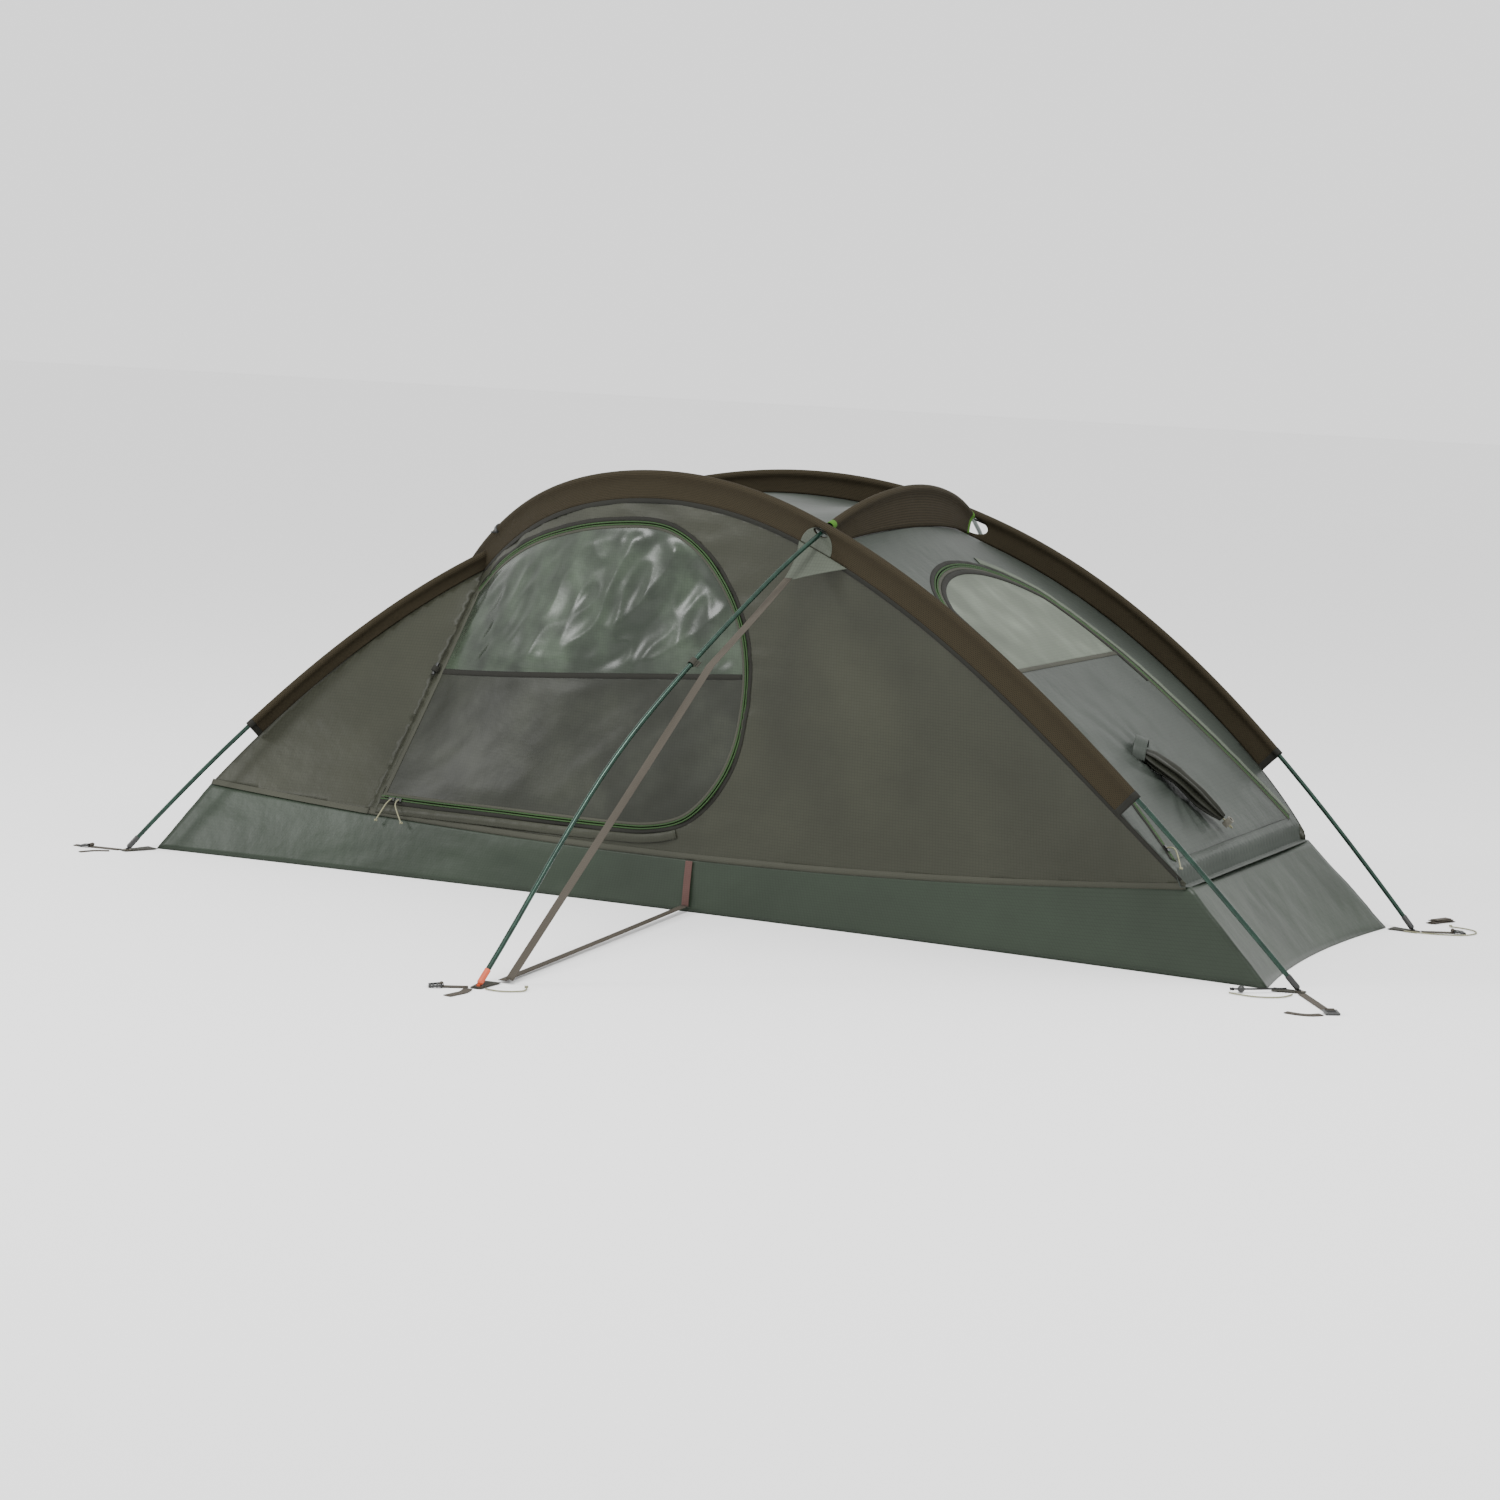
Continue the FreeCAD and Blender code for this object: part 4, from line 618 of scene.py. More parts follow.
def route_curve(name, points, radius, material, body, node):
    """A smooth cord guided by its route's points, in mm."""
    data = bpy.data.curves.new(name, "CURVE")
    data.dimensions = "3D"
    data.bevel_depth = radius * MM
    data.bevel_resolution = 4
    data.resolution_u = 16
    data.use_fill_caps = True
    line = data.splines.new("NURBS")
    line.points.add(len(points) - 1)
    for point, place in zip(line.points, metres(points)):
        point.co = (*place, 1)
    line.order_u = 3
    line.use_endpoint_u = True
    piece = bpy.data.objects.new(name, data)
    bpy.context.scene.collection.objects.link(piece)
    data.materials.append(material)
    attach(piece, body)
    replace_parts(piece, node)
    return piece


def knot_piece(name, centre, radius, material, body):
    """An overhand knot: one trefoil of cord pulled tight."""
    turns, round_count = 72, 8
    a = np.linspace(0, 2 * math.pi, turns, endpoint=False)
    spread = radius * 1.05
    path = np.stack([np.sin(a) + 2 * np.sin(2 * a), np.cos(a) - 2 * np.cos(2 * a),
                     -1.1 * np.sin(3 * a)], -1) * spread * 0.62 + np.array(centre, float)
    ahead = unit(np.roll(path, -1, axis=0) - np.roll(path, 1, axis=0))
    side = unit(np.cross(ahead, [0.2, 0.3, 1.0]))
    up = np.cross(side, ahead)
    b = np.linspace(0, 2 * math.pi, round_count, endpoint=False)
    rings = (path[:, None] + radius * 0.85 * (np.cos(b)[None, :, None] * side[:, None]
                                              + np.sin(b)[None, :, None] * up[:, None]))
    faces = []
    for i in range(turns):
        for j in range(round_count):
            k, m = (i + 1) % turns, (j + 1) % round_count
            faces.append((i * round_count + j, i * round_count + m,
                          k * round_count + m, k * round_count + j))
    return make_mesh(name, rings.reshape(-1, 3), faces, material, body)


# name, body, radius, far end, length in metres, lay, route in mm
CORDS = (
    ("door_pull_left", "left_door_slider", 1.3, "knot", 0.055, "hanging",
     [(-650.33, -318.72, 136.34), (-650.33, -333.72, 132.84), (-657.33, -342.72, 114.84),
      (-664.33, -349.72, 98.84)]),
    ("door_pull_right", "right_door_slider", 1.3, "knot", 0.060, "hanging",
     [(-634.33, -319.74, 136.34), (-634.33, -334.74, 132.84), (-621.33, -343.74, 114.84),
      (-608.33, -350.74, 98.84)]),
    ("head_pull", "head_zip_slider", 1.3, "knot", 0.054, "hanging",
     [(894.72, -332.77, 211.95), (908.72, -337.77, 216.95), (918.72, -342.77, 200.95),
      (926.72, -350.77, 182.95)]),
    ("vent_cord", "head_door", 1.3, "knot", 0.060, "loose",
     [(897.97, -44.0, 232.21), (914.59, -36.33, 216.68), (906.9, -14.52, 210.57),
      (893.05, -10.46, 219.58)]),
    ("corner_elastic", "tent", 1.6, "knot", 0.097, "loose",
     [(1131, -377, 6.3), (1098, -412, 6.3), (1058, -441, 6.3)]),
    ("corner_cord", "tent", 1.3, "object", 0.131, "loose",
     [(1056, -451, 1.6), (1090, -462, 1.6), (1122, -452, 1.6), (1146, -428, 1.6),
      (1148, -398, 1.6)]),
    ("rear_corner_cord", "tent", 1.3, "knot", 0.233, "loose",
     [(1136, 352, 1.6), (1172, 352, 1.6), (1212, 364, 1.6), (1248, 388, 1.6),
      (1257, 428, 1.6), (1234, 460, 1.6), (1196, 462, 1.6)]),
    ("side_cord", "tent", 1.3, "knot", 0.097, "loose",
     [(78, -1206, 1.6), (98, -1214, 1.6), (124, -1202, 1.6), (140, -1180, 1.6),
      (126, -1160, 1.6)]),
)
for name, body, radius, far_end, length, lay, route in CORDS:
    material = elastic_cloth if "elastic" in name else cord_cloth
    piece = route_curve(name + "_line", route, radius, material, body, name)
    along = unit(np.array(route[-1], float) - np.array(route[-2], float))
    end = np.array(route[-1], float) + along * radius * 0.5
    end[2] = max(end[2], radius * 2.4)
    pieces = []
    if far_end == "knot":
        pieces.append(knot_piece(name + "_knot", end, radius, material, body))
    if name == "corner_elastic":
        pieces.append(NODES["ball_toggle"])
    if name == "vent_cord":
        pieces += [NODES["cord_lock_case"], NODES["cord_lock_plunger"]]


# ---------------------------------------------------------------- flat outlines, mm
DOOR = [(-626, 524), (-560, 582), (-457, 634), (-323, 672), (-203, 688), (-127, 688),
        (-72, 672), (-22, 641), (22, 597), (55, 549), (77, 496), (87, 434), (85, 366),
        (75, 307), (53, 250), (15, 196), (-30, 160), (-95, 142), (-170, 138), (-290, 137),
        (-420, 137), (-550, 136), (-676, 136)]
ARCH_LEGS = [(908, -334), (812, -305), (711, -282), (575, -268)]
ARCH_MIDDLE, ARCH_LONG, ARCH_HALF = 470.0, 125.0, 250.0
ARCH = ARCH_LEGS + [(ARCH_MIDDLE - ARCH_LONG * math.sin(math.radians(a)),
                     -ARCH_HALF * math.cos(math.radians(a))) for a in (10, 30, 50, 70)]
ARCH += [(ARCH_MIDDLE - ARCH_LONG, 0.0)] + [(x, -y) for x, y in reversed(ARCH)]
DIVIDE_X, DIVIDE_Z, DIVIDE_SLOPE, HEAD_DIVIDE = -660.0, 368.0, 0.086, 577.0
LEAF_GAP = 2.0
door_line = resample(catmull(DOOR), 6.0)
arch_line = resample(catmull(ARCH), 6.0)


def moved_line(line, amount):
    """The line shifted sideways, to its left for a positive amount."""
    run = unit(np.gradient(line, axis=0))
    return line + np.stack([-run[:, 1], run[:, 0]], -1) * amount


def clip(outline, normal, limit):
    """The part of an outline where normal . point is below the limit."""
    normal = np.array(normal, float)
    kept = []
    for a, b in zip(outline, np.roll(outline, -1, axis=0)):
        below_a, below_b = a @ normal <= limit, b @ normal <= limit
        if below_a:
            kept.append(a)
        if below_a != below_b:
            share = (limit - a @ normal) / ((b - a) @ normal)
            kept.append(a + (b - a) * share)
    return resample(np.array(kept), 6.0, closed=True)


EDGE_POINTS, END_EDGE_POINTS = 240, 20
steps_fine = np.linspace(0, 1, EDGE_POINTS)
wall_edges = np.vstack([
    wall(steps_fine, np.zeros(EDGE_POINTS))[:-1],
    wall(1 - steps_fine, np.ones(EDGE_POINTS))[1:],
    wall(np.zeros(END_EDGE_POINTS), np.linspace(1, 0, END_EDGE_POINTS))[1:-1]])[:, [0, 2]]
gore_edges = np.vstack([
    gore(steps_fine, np.zeros(EDGE_POINTS)),
    gore(np.ones(END_EDGE_POINTS), np.linspace(0, 1, END_EDGE_POINTS))[1:-1],
    gore(1 - steps_fine, np.ones(EDGE_POINTS))[:-1]])[:, [0, 2]]


def even_outline(points, spacing):
    """A closed outline with even steps, and no point twice."""
    gaps = np.linalg.norm(np.roll(points, -1, axis=0) - points, axis=1)
    return resample(points[gaps > 1e-6], spacing, closed=True)


wall_outline = even_outline(wall_edges, 9.0)
gore_outline = even_outline(gore_edges, 9.0)


def settle(distance, reach):
    """0 at an edge, rising smoothly to 1 at the reach."""
    share = np.clip(distance / reach, 0, 1)
    return share * share * (3 - 2 * share)


# Each relief gives how far cloth stands out from its sheet, in mm. Its terms are noise of
# one feature size in mm, with its own seed and stretch, times a height in mm.
def wall_relief(flat, points):
    """Slack, and short puckers along the zip and the door's sewn edge."""
    border = settle(edge_distance(flat, wall_outline), 40)
    to_zip = np.linalg.norm(flat[:, None] - door_line[None, ::3], axis=-1).min(1)
    pucker = np.exp(-to_zip / 55) * settle(to_zip, 12)
    small = soft_noise(points, 26, 3.1, (0.22, 1, 1))
    large = soft_noise(points, 230, 7.7)
    folds = soft_noise(points, 75, 1.3, (0.35, 1, 1))
    return border * (large * 4.0 + folds * 1.6) + pucker * small * 6.0 * settle(
        edge_distance(flat, wall_outline), 14)


def beside_divide(flat):
    """0 on the seam between the leaf's two cloths, rising to 1 on both sides of it."""
    gap = np.abs(flat[:, 1] - DIVIDE_Z - DIVIDE_SLOPE * (flat[:, 0] - DIVIDE_X))
    return settle(gap - 5, 30)


def leaf_relief(flat, points):
    border = settle(edge_distance(flat, door_line), 45) * beside_divide(flat)
    turned = np.stack([points[:, 0] * 0.75 + points[:, 2] * 0.66, points[:, 1],
                       points[:, 2] * 0.75 - points[:, 0] * 0.66], -1)
    return border * (soft_noise(turned, 85, 4.4, (0.3, 1, 1)) * 5.0
                     + soft_noise(points, 190, 9.2) * 4.0
                     + soft_noise(turned, 30, 2.2, (0.4, 1, 1)) * 1.0)


def film_relief(flat, points):
    border = settle(edge_distance(flat, door_line) - 9, 26) * beside_divide(flat)
    turned = np.stack([points[:, 0] * 0.62 + points[:, 2] * 0.78, points[:, 1],
                       points[:, 2] * 0.62 - points[:, 0] * 0.78], -1)
    return border * (ridged(turned, 105, 5.5, (0.32, 1, 1)) * 6.0
                     + ridged(turned, 42, 8.1, (0.5, 1, 1)) * 2.4
                     + soft_noise(points, 160, 2.9) * 3.0)


CLOTH_THICK = 0.7


def lay_sheet(name, sheet, outline, holes, spacing, relief, material, body="tent",
              mirror=False):
    """Cloth cut to a flat outline with holes, laid on a sheet and given its relief."""
    flat, faces = fill(outline, spacing, holes)
    points, normals = sheet.lift(flat)
    points = points + normals * relief(flat, points)[:, None]
    if mirror:
        points = points * MIRROR
    faces = faced(faces, points, sheet.outward * (MIRROR if mirror else 1))
    return make_mesh(name, points, faces, material, body, flat, thick=CLOTH_THICK)


def turn_inwards(outline):
    """1 if an outline's left is its inside, and -1 if its right is."""
    probe = moved_line(outline, 4.0)[60:61]
    return 1.0 if inside(probe, outline)[0] else -1.0


DOOR_TURN = turn_inwards(door_line)
ARCH_TURN = turn_inwards(arch_line)
leaf_outline = even_outline(moved_line(door_line, DOOR_TURN * LEAF_GAP), 6.0)
head_outline_leaf = even_outline(moved_line(arch_line, ARCH_TURN * LEAF_GAP), 6.0)
divide = DIVIDE_Z - DIVIDE_SLOPE * DIVIDE_X

door_wall = lay_sheet("door_wall_cloth", wall_sheet, wall_outline, [even_outline(door_line, 6.0)],
                      11.0, wall_relief, wall_cloth)
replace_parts(door_wall, "door_wall")


def plain_relief(flat, points):
    border = settle(edge_distance(flat, wall_outline), 40)
    return border * (soft_noise(points, 230, 17.7) * 3.5
                     + soft_noise(points, 75, 11.3, (0.35, 1, 1)) * 1.5)


plain_wall = lay_sheet("plain_wall_cloth", wall_sheet, wall_outline, [], 12.0, plain_relief,
                       wall_cloth, mirror=True)
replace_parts(plain_wall, "plain_wall")


def gore_relief(flat, points):
    border = settle(edge_distance(flat, gore_outline), 30)
    return border * (soft_noise(points, 110, 21.0) * 3.0
                     + soft_noise(points, 40, 5.0, (0.4, 1, 1)) * 1.2)


near_gore = lay_sheet("near_gore_cloth", gore_sheet, gore_outline, [], 11.0, gore_relief,
                      wall_cloth)
lay_sheet("far_gore_cloth", gore_sheet, gore_outline, [], 11.0, gore_relief, wall_cloth,
          mirror=True)
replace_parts(near_gore, "foot_gores")

lower_leaf = clip(leaf_outline, (-DIVIDE_SLOPE, 1), divide)
upper_leaf = clip(leaf_outline, (DIVIDE_SLOPE, -1), -divide)
leaf_low = lay_sheet("door_leaf_cloth", wall_sheet, lower_leaf, [], 6.0, leaf_relief,
                     leaf_cloth, body="near_door")
leaf_film = lay_sheet("door_film_cloth", wall_sheet, upper_leaf, [], 6.0, film_relief,
                      film_cloth, body="near_door")
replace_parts(leaf_low, "door_leaf_lower")
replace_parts(leaf_film, "door_leaf_window")

# ---- roof, head door, foot slope
head_edges = np.vstack([
    roof(steps_fine, np.full(EDGE_POINTS, HEAD_START))[:-1],
    roof(np.ones(EDGE_POINTS), HEAD_START + (1 - HEAD_START) * steps_fine)[:-1],
    roof(1 - steps_fine, np.ones(EDGE_POINTS))[:-1],
    roof(np.zeros(EDGE_POINTS), 1 - (1 - HEAD_START) * steps_fine)[:-1]])[:, [0, 1]]
head_outline = even_outline(head_edges, 9.0)
arch_hole = even_outline(arch_line, 6.0)


def head_relief(flat, points):
    border = settle(edge_distance(flat, head_outline), 30)
    to_zip = edge_distance(flat, arch_hole)
    crown = np.exp(-to_zip / 60) * settle(to_zip, 10)
    return border * soft_noise(points, 160, 31.0) * 2.0 + crown * border * soft_noise(
        points, 16, 6.0, (0.15, 1, 1)) * 1.2


VENT_MIDDLE = np.array([815.0, -75.0])


def head_leaf_relief(flat, points):
    """Slack, and creases that run out like rays from where the vent is sewn on."""
    border = settle(edge_distance(flat, head_outline_leaf) - 8, 35) * settle(
        np.abs(flat[:, 0] - HEAD_DIVIDE) - 4, 25)
    from_vent = flat - VENT_MIDDLE
    reach = np.linalg.norm(from_vent, axis=1)
    angle = np.arctan2(from_vent[:, 1], from_vent[:, 0])
    rays = np.sin(angle * 13 + soft_noise(points, 90, 3.0) * 3) * np.exp(-reach / 110)
    return border * (rays * 4.0 * settle(reach, 60) + soft_noise(points, 150, 12.0) * 4.0
                     + soft_noise(points, 60, 15.0, (0.4, 1, 1)) * 1.5)


def window_relief(flat, points):
    border = settle(edge_distance(flat, head_outline_leaf) - 18, 25) * settle(
        np.abs(flat[:, 0] - HEAD_DIVIDE) - 4, 25)
    return border * (soft_noise(points, 38, 2.0, (0.12, 1, 1)) * 2.2
                     + soft_noise(points, 140, 8.0) * 3.0)


head_panel = lay_sheet("head_panel_cloth", roof_sheet, head_outline, [arch_hole], 10.0,
                       head_relief, head_cloth)
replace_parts(head_panel, "head_panel")
head_low = lay_sheet("head_leaf_cloth", roof_sheet,
                     clip(head_outline_leaf, (-1, 0), -HEAD_DIVIDE), [], 7.0,
                     head_leaf_relief, head_cloth, body="head_door")
head_window = lay_sheet("head_window_cloth", roof_sheet,
                        clip(head_outline_leaf, (1, 0), HEAD_DIVIDE), [], 7.0, window_relief,
                        window_cloth, body="head_door")
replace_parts(head_low, "head_leaf_lower")
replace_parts(head_window, "head_leaf_window")


def grid_sheet(name, rule, rows, columns, material, v_until, relief, size, seed):
    """Cloth over a whole rule, from v = 0 to v_until, with slack that dies out at its edges."""
    u, v = np.meshgrid(np.linspace(0, 1, rows), np.linspace(0, v_until, columns),
                       indexing="ij")
    points = rule(u.ravel(), v.ravel())
    shaped = points.reshape(rows, columns, 3)
    du, dv = np.gradient(shaped, axis=0), np.gradient(shaped, axis=1)
    normals = unit(np.cross(du, dv).reshape(-1, 3) + 1e-9)
    if normals[:, 2].sum() < 0:
        normals = -normals
    inner = settle(np.minimum.reduce([u, 1 - u, v, v_until - v]).ravel(), 0.12 * v_until)
    points = points + normals * (inner * relief * soft_noise(points, size, seed))[:, None]
    flat = np.stack([points[:, 0], points[:, 1]], -1)
    faces = faced(np.array(grid_faces(rows, columns)), points, UP)
    return make_mesh(name, points, faces, material, "tent", flat, thick=CLOTH_THICK)


roof_front = grid_sheet("roof_cloth", roof, 61, 91, head_cloth, HEAD_START, 3.0, 140, 2.5)
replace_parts(roof_front, "roof_panel")
foot_cloth = grid_sheet("foot_cloth", foot_slope, 51, 41, wall_cloth, 1, 3.0, 110, 6.5)
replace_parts(foot_cloth, "foot_panel")

# ---- groundsheet
TUB_ROWS = 13
END_POINTS, END_BOW, TOP_BOW_SHARE = 61, 30, 0.4
FLOOR_TOP, FLOOR_CLOTH_TOP, TUB_THICK, WALL_TALL = 1.2, 0.9, 0.8, 120


def tub_end(corner_top, corner_low, bow_reach, sign):
    """Top and bottom edge of one end of the groundsheet wall, from corner to corner."""
    across = np.linspace(-1, 1, END_POINTS)
    bow = bow_reach * (1 - across ** 2)
    top = np.stack([corner_top[0] + bow * TOP_BOW_SHARE, across * corner_top[1] * sign,
                    np.full(END_POINTS, corner_top[2])], -1)
    low = np.stack([corner_low[0] + bow, across * corner_low[1] * sign,
                    np.full(END_POINTS, 0.0)], -1)
    return top, low


def tub_loop():
    """Top and bottom edge of the groundsheet wall, once round, as matching points."""
    share = np.linspace(0, 1, 181)
    near = (tub_top(share), tub_base(share))
    far = tuple((edge * MIRROR)[::-1] for edge in near)
    sides = (near, tub_end(TUB_HEAD, BASE_HEAD, -END_BOW, -1), far,
             tub_end(TUB_FOOT, BASE_FOOT, END_BOW, 1))
    return tuple(np.vstack([side[level][:-1] for side in sides]) for level in (0, 1))


loop_top, loop_low = tub_loop()
loop_low[:, 2] = FLOOR_TOP
rows = np.linspace(0, 1, TUB_ROWS)
tub_points = np.concatenate([mixed(loop_low, loop_top, np.full(len(loop_top), r)) for r in rows])
run = distance_along(loop_top)
tub_flat = np.concatenate([np.stack([run, np.full(len(run), r * WALL_TALL)], -1) for r in rows])
outwards = loop_low - loop_top
outwards[:, 2] = 0
outwards = unit(outwards + unit(loop_low * np.array([0.02, 1, 0])) * 2)
fade = np.repeat(settle(np.minimum(rows, 1 - rows), 0.25), len(loop_top))
crumple = (soft_noise(tub_points, 120, 3.0, (0.5, 1, 1.4)) * 3.4
           + ridged(tub_points, 48, 9.0, (0.4, 1, 1)) * 1.4)
tub_points = tub_points + np.tile(outwards, (TUB_ROWS, 1)) * (fade * crumple)[:, None]
tub_wall = make_mesh("tub_wall_cloth", tub_points,
                     grid_faces(TUB_ROWS, len(loop_top), closed=True), tub_cloth, "tent",
                     tub_flat, thick=TUB_THICK)
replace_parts(tub_wall, "groundsheet_walls")
floor_flat, floor_faces = fill(even_outline(loop_low[:, :2], 30.0), 40.0)
floor_points = np.column_stack([floor_flat, np.full(len(floor_flat), FLOOR_CLOTH_TOP)])
tub_floor = make_mesh("tub_floor_cloth", floor_points, floor_faces, tub_cloth, "tent",
                      floor_flat, thick=TUB_THICK)
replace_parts(tub_floor, "groundsheet_floor")


# ---------------------------------------------------------------- sleeves
SLEEVE_RADIUS, WRAP = 6.9, math.radians(135)
SLEEVE_FROM, SLEEVE_UNTIL = 424.0, 340.0
HALF_WIDE = SLEEVE_RADIUS * WRAP + 40.0
SLEEVE_THICK = 0.6
WEB_HALF_GAP, WEB_CLOSING = 0.9, 5.0


def sleeve_map(line, seam_of, flat, grow=0.0):
    """Points of a sleeve cloth: flat x along the pole, flat y round it from its top."""
    t = line.at_length(flat[:, 0])
    centre, along, seam = line.value(t), line.tangent(t), seam_of(t)
    down = seam - centre
    down = down - along * (down * along).sum(-1)[:, None]
    depth = np.linalg.norm(down, axis=-1)
    down = down / depth[:, None]
    side = np.cross(along, down)
    w = flat[:, 1]
    limit = SLEEVE_RADIUS * WRAP
    angle = np.clip(w, -limit, limit) / SLEEVE_RADIUS
    share = np.clip((np.abs(w) - limit) / (HALF_WIDE - limit), 0, 1)
    start_depth = -SLEEVE_RADIUS * math.cos(WRAP)
    start_side = SLEEVE_RADIUS * math.sin(WRAP)
    round_part = -np.cos(angle) * SLEEVE_RADIUS
    web_depth = start_depth + (depth - start_depth) * share
    closing = np.exp(-share * (depth - start_depth) / WEB_CLOSING)
    web_side = WEB_HALF_GAP + (start_side - WEB_HALF_GAP) * closing
    in_web = np.abs(w) > limit
    d = np.where(in_web, web_depth, round_part - np.cos(angle) * grow)
    s = np.where(in_web, np.sign(w) * (web_side + grow),
                 np.sin(angle) * (SLEEVE_RADIUS + grow))
    points = centre + down * d[:, None] + side * s[:, None]
    slack = soft_noise(points, 55, 2.0) * 1.3 * settle(share, 0.35) * settle(1 - share, 0.3)
    return points + side * slack[:, None]


def crossing_length(line, other):
    """Distance along a pole to where another passes closest."""
    ts = np.linspace(0, 1, 801)
    p, q = line.value(ts), other.value(ts)
    gap = ((p[:, None] - q[None]) ** 2).sum(-1)
    i, _ = np.unravel_index(gap.argmin(), gap.shape)
    return line.length_at(ts[i])


def oval(centre_s, centre_w, half_s, half_w, count=40):
    a = np.linspace(0, 2 * math.pi, count, endpoint=False)
    return np.stack([centre_s + half_s * np.cos(a), centre_w + half_w * np.sin(a)], -1)


def sleeve(name, line, seam_of, low, high, holes):
    """Mesh band folded over a pole, between two distances along it."""
    outline = resample([(low, -HALF_WIDE), (high, -HALF_WIDE), (high, HALF_WIDE),
                        (low, HALF_WIDE)], 5.0, closed=True)
    flat, faces = fill(outline, 5.0, holes)
    points = sleeve_map(line, seam_of, flat)
    return make_mesh(name, points, faces[:, ::-1], honeycomb, "tent", flat,
                     thick=SLEEVE_THICK)


ac = crossing_length(LINE_A, LINE_C)
bc = crossing_length(LINE_B, LINE_C)
ca, cb = crossing_length(LINE_C, LINE_A), crossing_length(LINE_C, LINE_B)
HOLE_W, HOLE_HALF_W, HOLE_HALF_S = 33.0, 15.0, 32.0
SLIT_W, SLIT_HALF_W, SLIT_HALF_S = 23.0, 7.0, 17.0
PATCH_HALF_S, PATCH_TOP_W, PATCH_LOW_W = 38.0, 16.8, HALF_WIDE - 1.0
OPENINGS = {"a": (ac, HOLE_W, HOLE_HALF_S, HOLE_HALF_W),
            "b": (bc, SLIT_W, SLIT_HALF_S, SLIT_HALF_W)}
for tag, line, seam in (("a", LINE_A, SEAM_A), ("b", LINE_B, SEAM_B)):
    where, off_top, half_s, half_w = OPENINGS[tag]
    holes = [oval(where, side * off_top, half_s, half_w) for side in (-1, 1)]
    band = sleeve("sleeve_%s_mesh" % tag, line, seam.value, SLEEVE_FROM,
                  line.length - SLEEVE_UNTIL, holes)
    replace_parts(band, "sleeve_" + tag)


def roof_under(t):
    """The roof's surface below the short pole."""
    point = LINE_C.value(t)
    return roof_sheet.lift(point[:, :2])[0]


SHORT_SLEEVE_IN = 34.0
band = sleeve("sleeve_c_mesh", LINE_C, roof_under, cb + SHORT_SLEEVE_IN,
              ca - SHORT_SLEEVE_IN, [])
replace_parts(band, "sleeve_c")


def crossing_patch(name, side):
    """Half-moon reinforcement round the slit that lets the short pole through."""
    a = np.linspace(0, math.pi, 40)
    outline = np.stack([bc + PATCH_HALF_S * np.cos(a),
                        PATCH_LOW_W - (PATCH_LOW_W - PATCH_TOP_W) * np.sin(a)], -1)
    outline = resample(outline, 3.0, closed=True)
    flat, faces = fill(outline, 3.0, [oval(bc, SLIT_W + 1.0, SLIT_HALF_S, SLIT_HALF_W)])
    flat = flat * np.array([1.0, side])
    points = sleeve_map(LINE_B, SEAM_B.value, flat, grow=1.0)
    faces = faces[:, ::-1] if side > 0 else faces
    return make_mesh(name, points, faces, patch_cloth, "tent", flat, thick=0.4)


crossing_patch("crossing_patch_near", 1)
crossing_patch("crossing_patch_far", -1)


# ---------------------------------------------------------------- bands sewn on the cloth
BAND_THICK = 0.5
TOOTH_LOW = 0.55


def band_on(name, sheet, line, profile, material, body="tent", mirror=False, relief=None,
            teeth=0.0):
    """A band following a flat line on a sheet; profile lists (sideways, height) in mm.

    Teeth is the pitch of a zip's coil, and 0 leaves the band plain.
    """
    along = distance_along(line)
    swell = 1.0
    if teeth:
        wave = 0.5 + 0.5 * np.cos(along * 2 * math.pi / teeth)
        swell = TOOTH_LOW + (1 - TOOTH_LOW) * wave
    columns = []
    for sideways, height in profile:
        flat = moved_line(line, sideways)
        points, normals = sheet.lift(flat)
        rise = np.full(len(flat), float(height)) * swell
        if relief is not None:
            rise = rise + relief(flat, points)
        columns.append(points + normals * rise[:, None])
    turn = MIRROR if mirror else 1
    shaped = np.stack(columns, 1) * turn
    points = shaped.reshape(-1, 3)
    sideways = np.array([place for place, _ in profile])
    flat = np.stack(np.broadcast_arrays(along[:, None], sideways[None]), -1).reshape(-1, 2)
    faces = faced(np.array(grid_faces(*shaped.shape[:2])), points, sheet.outward * turn)
    return make_mesh(name, points, faces, material, body, flat, thick=BAND_THICK)


COIL = ((0.35, 0.3), (0.6, 1.7), (1.4, 2.5), (2.4, 2.5), (3.1, 1.7), (3.4, 0.3))
COIL_PITCH = 3.0
INNER_GAP = 1.0
OUTER_TAPE = ((3.2, 0.5), (3.8, 1.1), (10.4, 1.0), (11.0, 0.4))
INNER_TAPE = ((4.2, 0.5), (4.8, 1.0), (9.0, 0.9), (9.6, 0.3))


def zip_halves(tag, sheet, line, turn, leaf_body, tent_relief, leaf_relief_rule):
    """Green coil on each edge, with a stitched tape behind it; returns the two coils."""
    fine = resample(line, 1.25)
    coarse = resample(line, 6.0)
    outer = [(-turn * s, h) for s, h in COIL]
    inner = [(turn * (s + INNER_GAP), h) for s, h in COIL]
    coils = (band_on(tag + "_coil_outer", sheet, fine, outer, zip_green, teeth=COIL_PITCH),
             band_on(tag + "_coil_inner", sheet, fine, inner, zip_green, leaf_body,
                     teeth=COIL_PITCH))
    band_on(tag + "_tape_outer", sheet, coarse, [(-turn * s, h) for s, h in OUTER_TAPE],
            binding_dark, relief=tent_relief)
    band_on(tag + "_tape_inner", sheet, coarse, [(turn * s, h) for s, h in INNER_TAPE],
            tape_cloth, leaf_body, relief=leaf_relief_rule)
    return coils


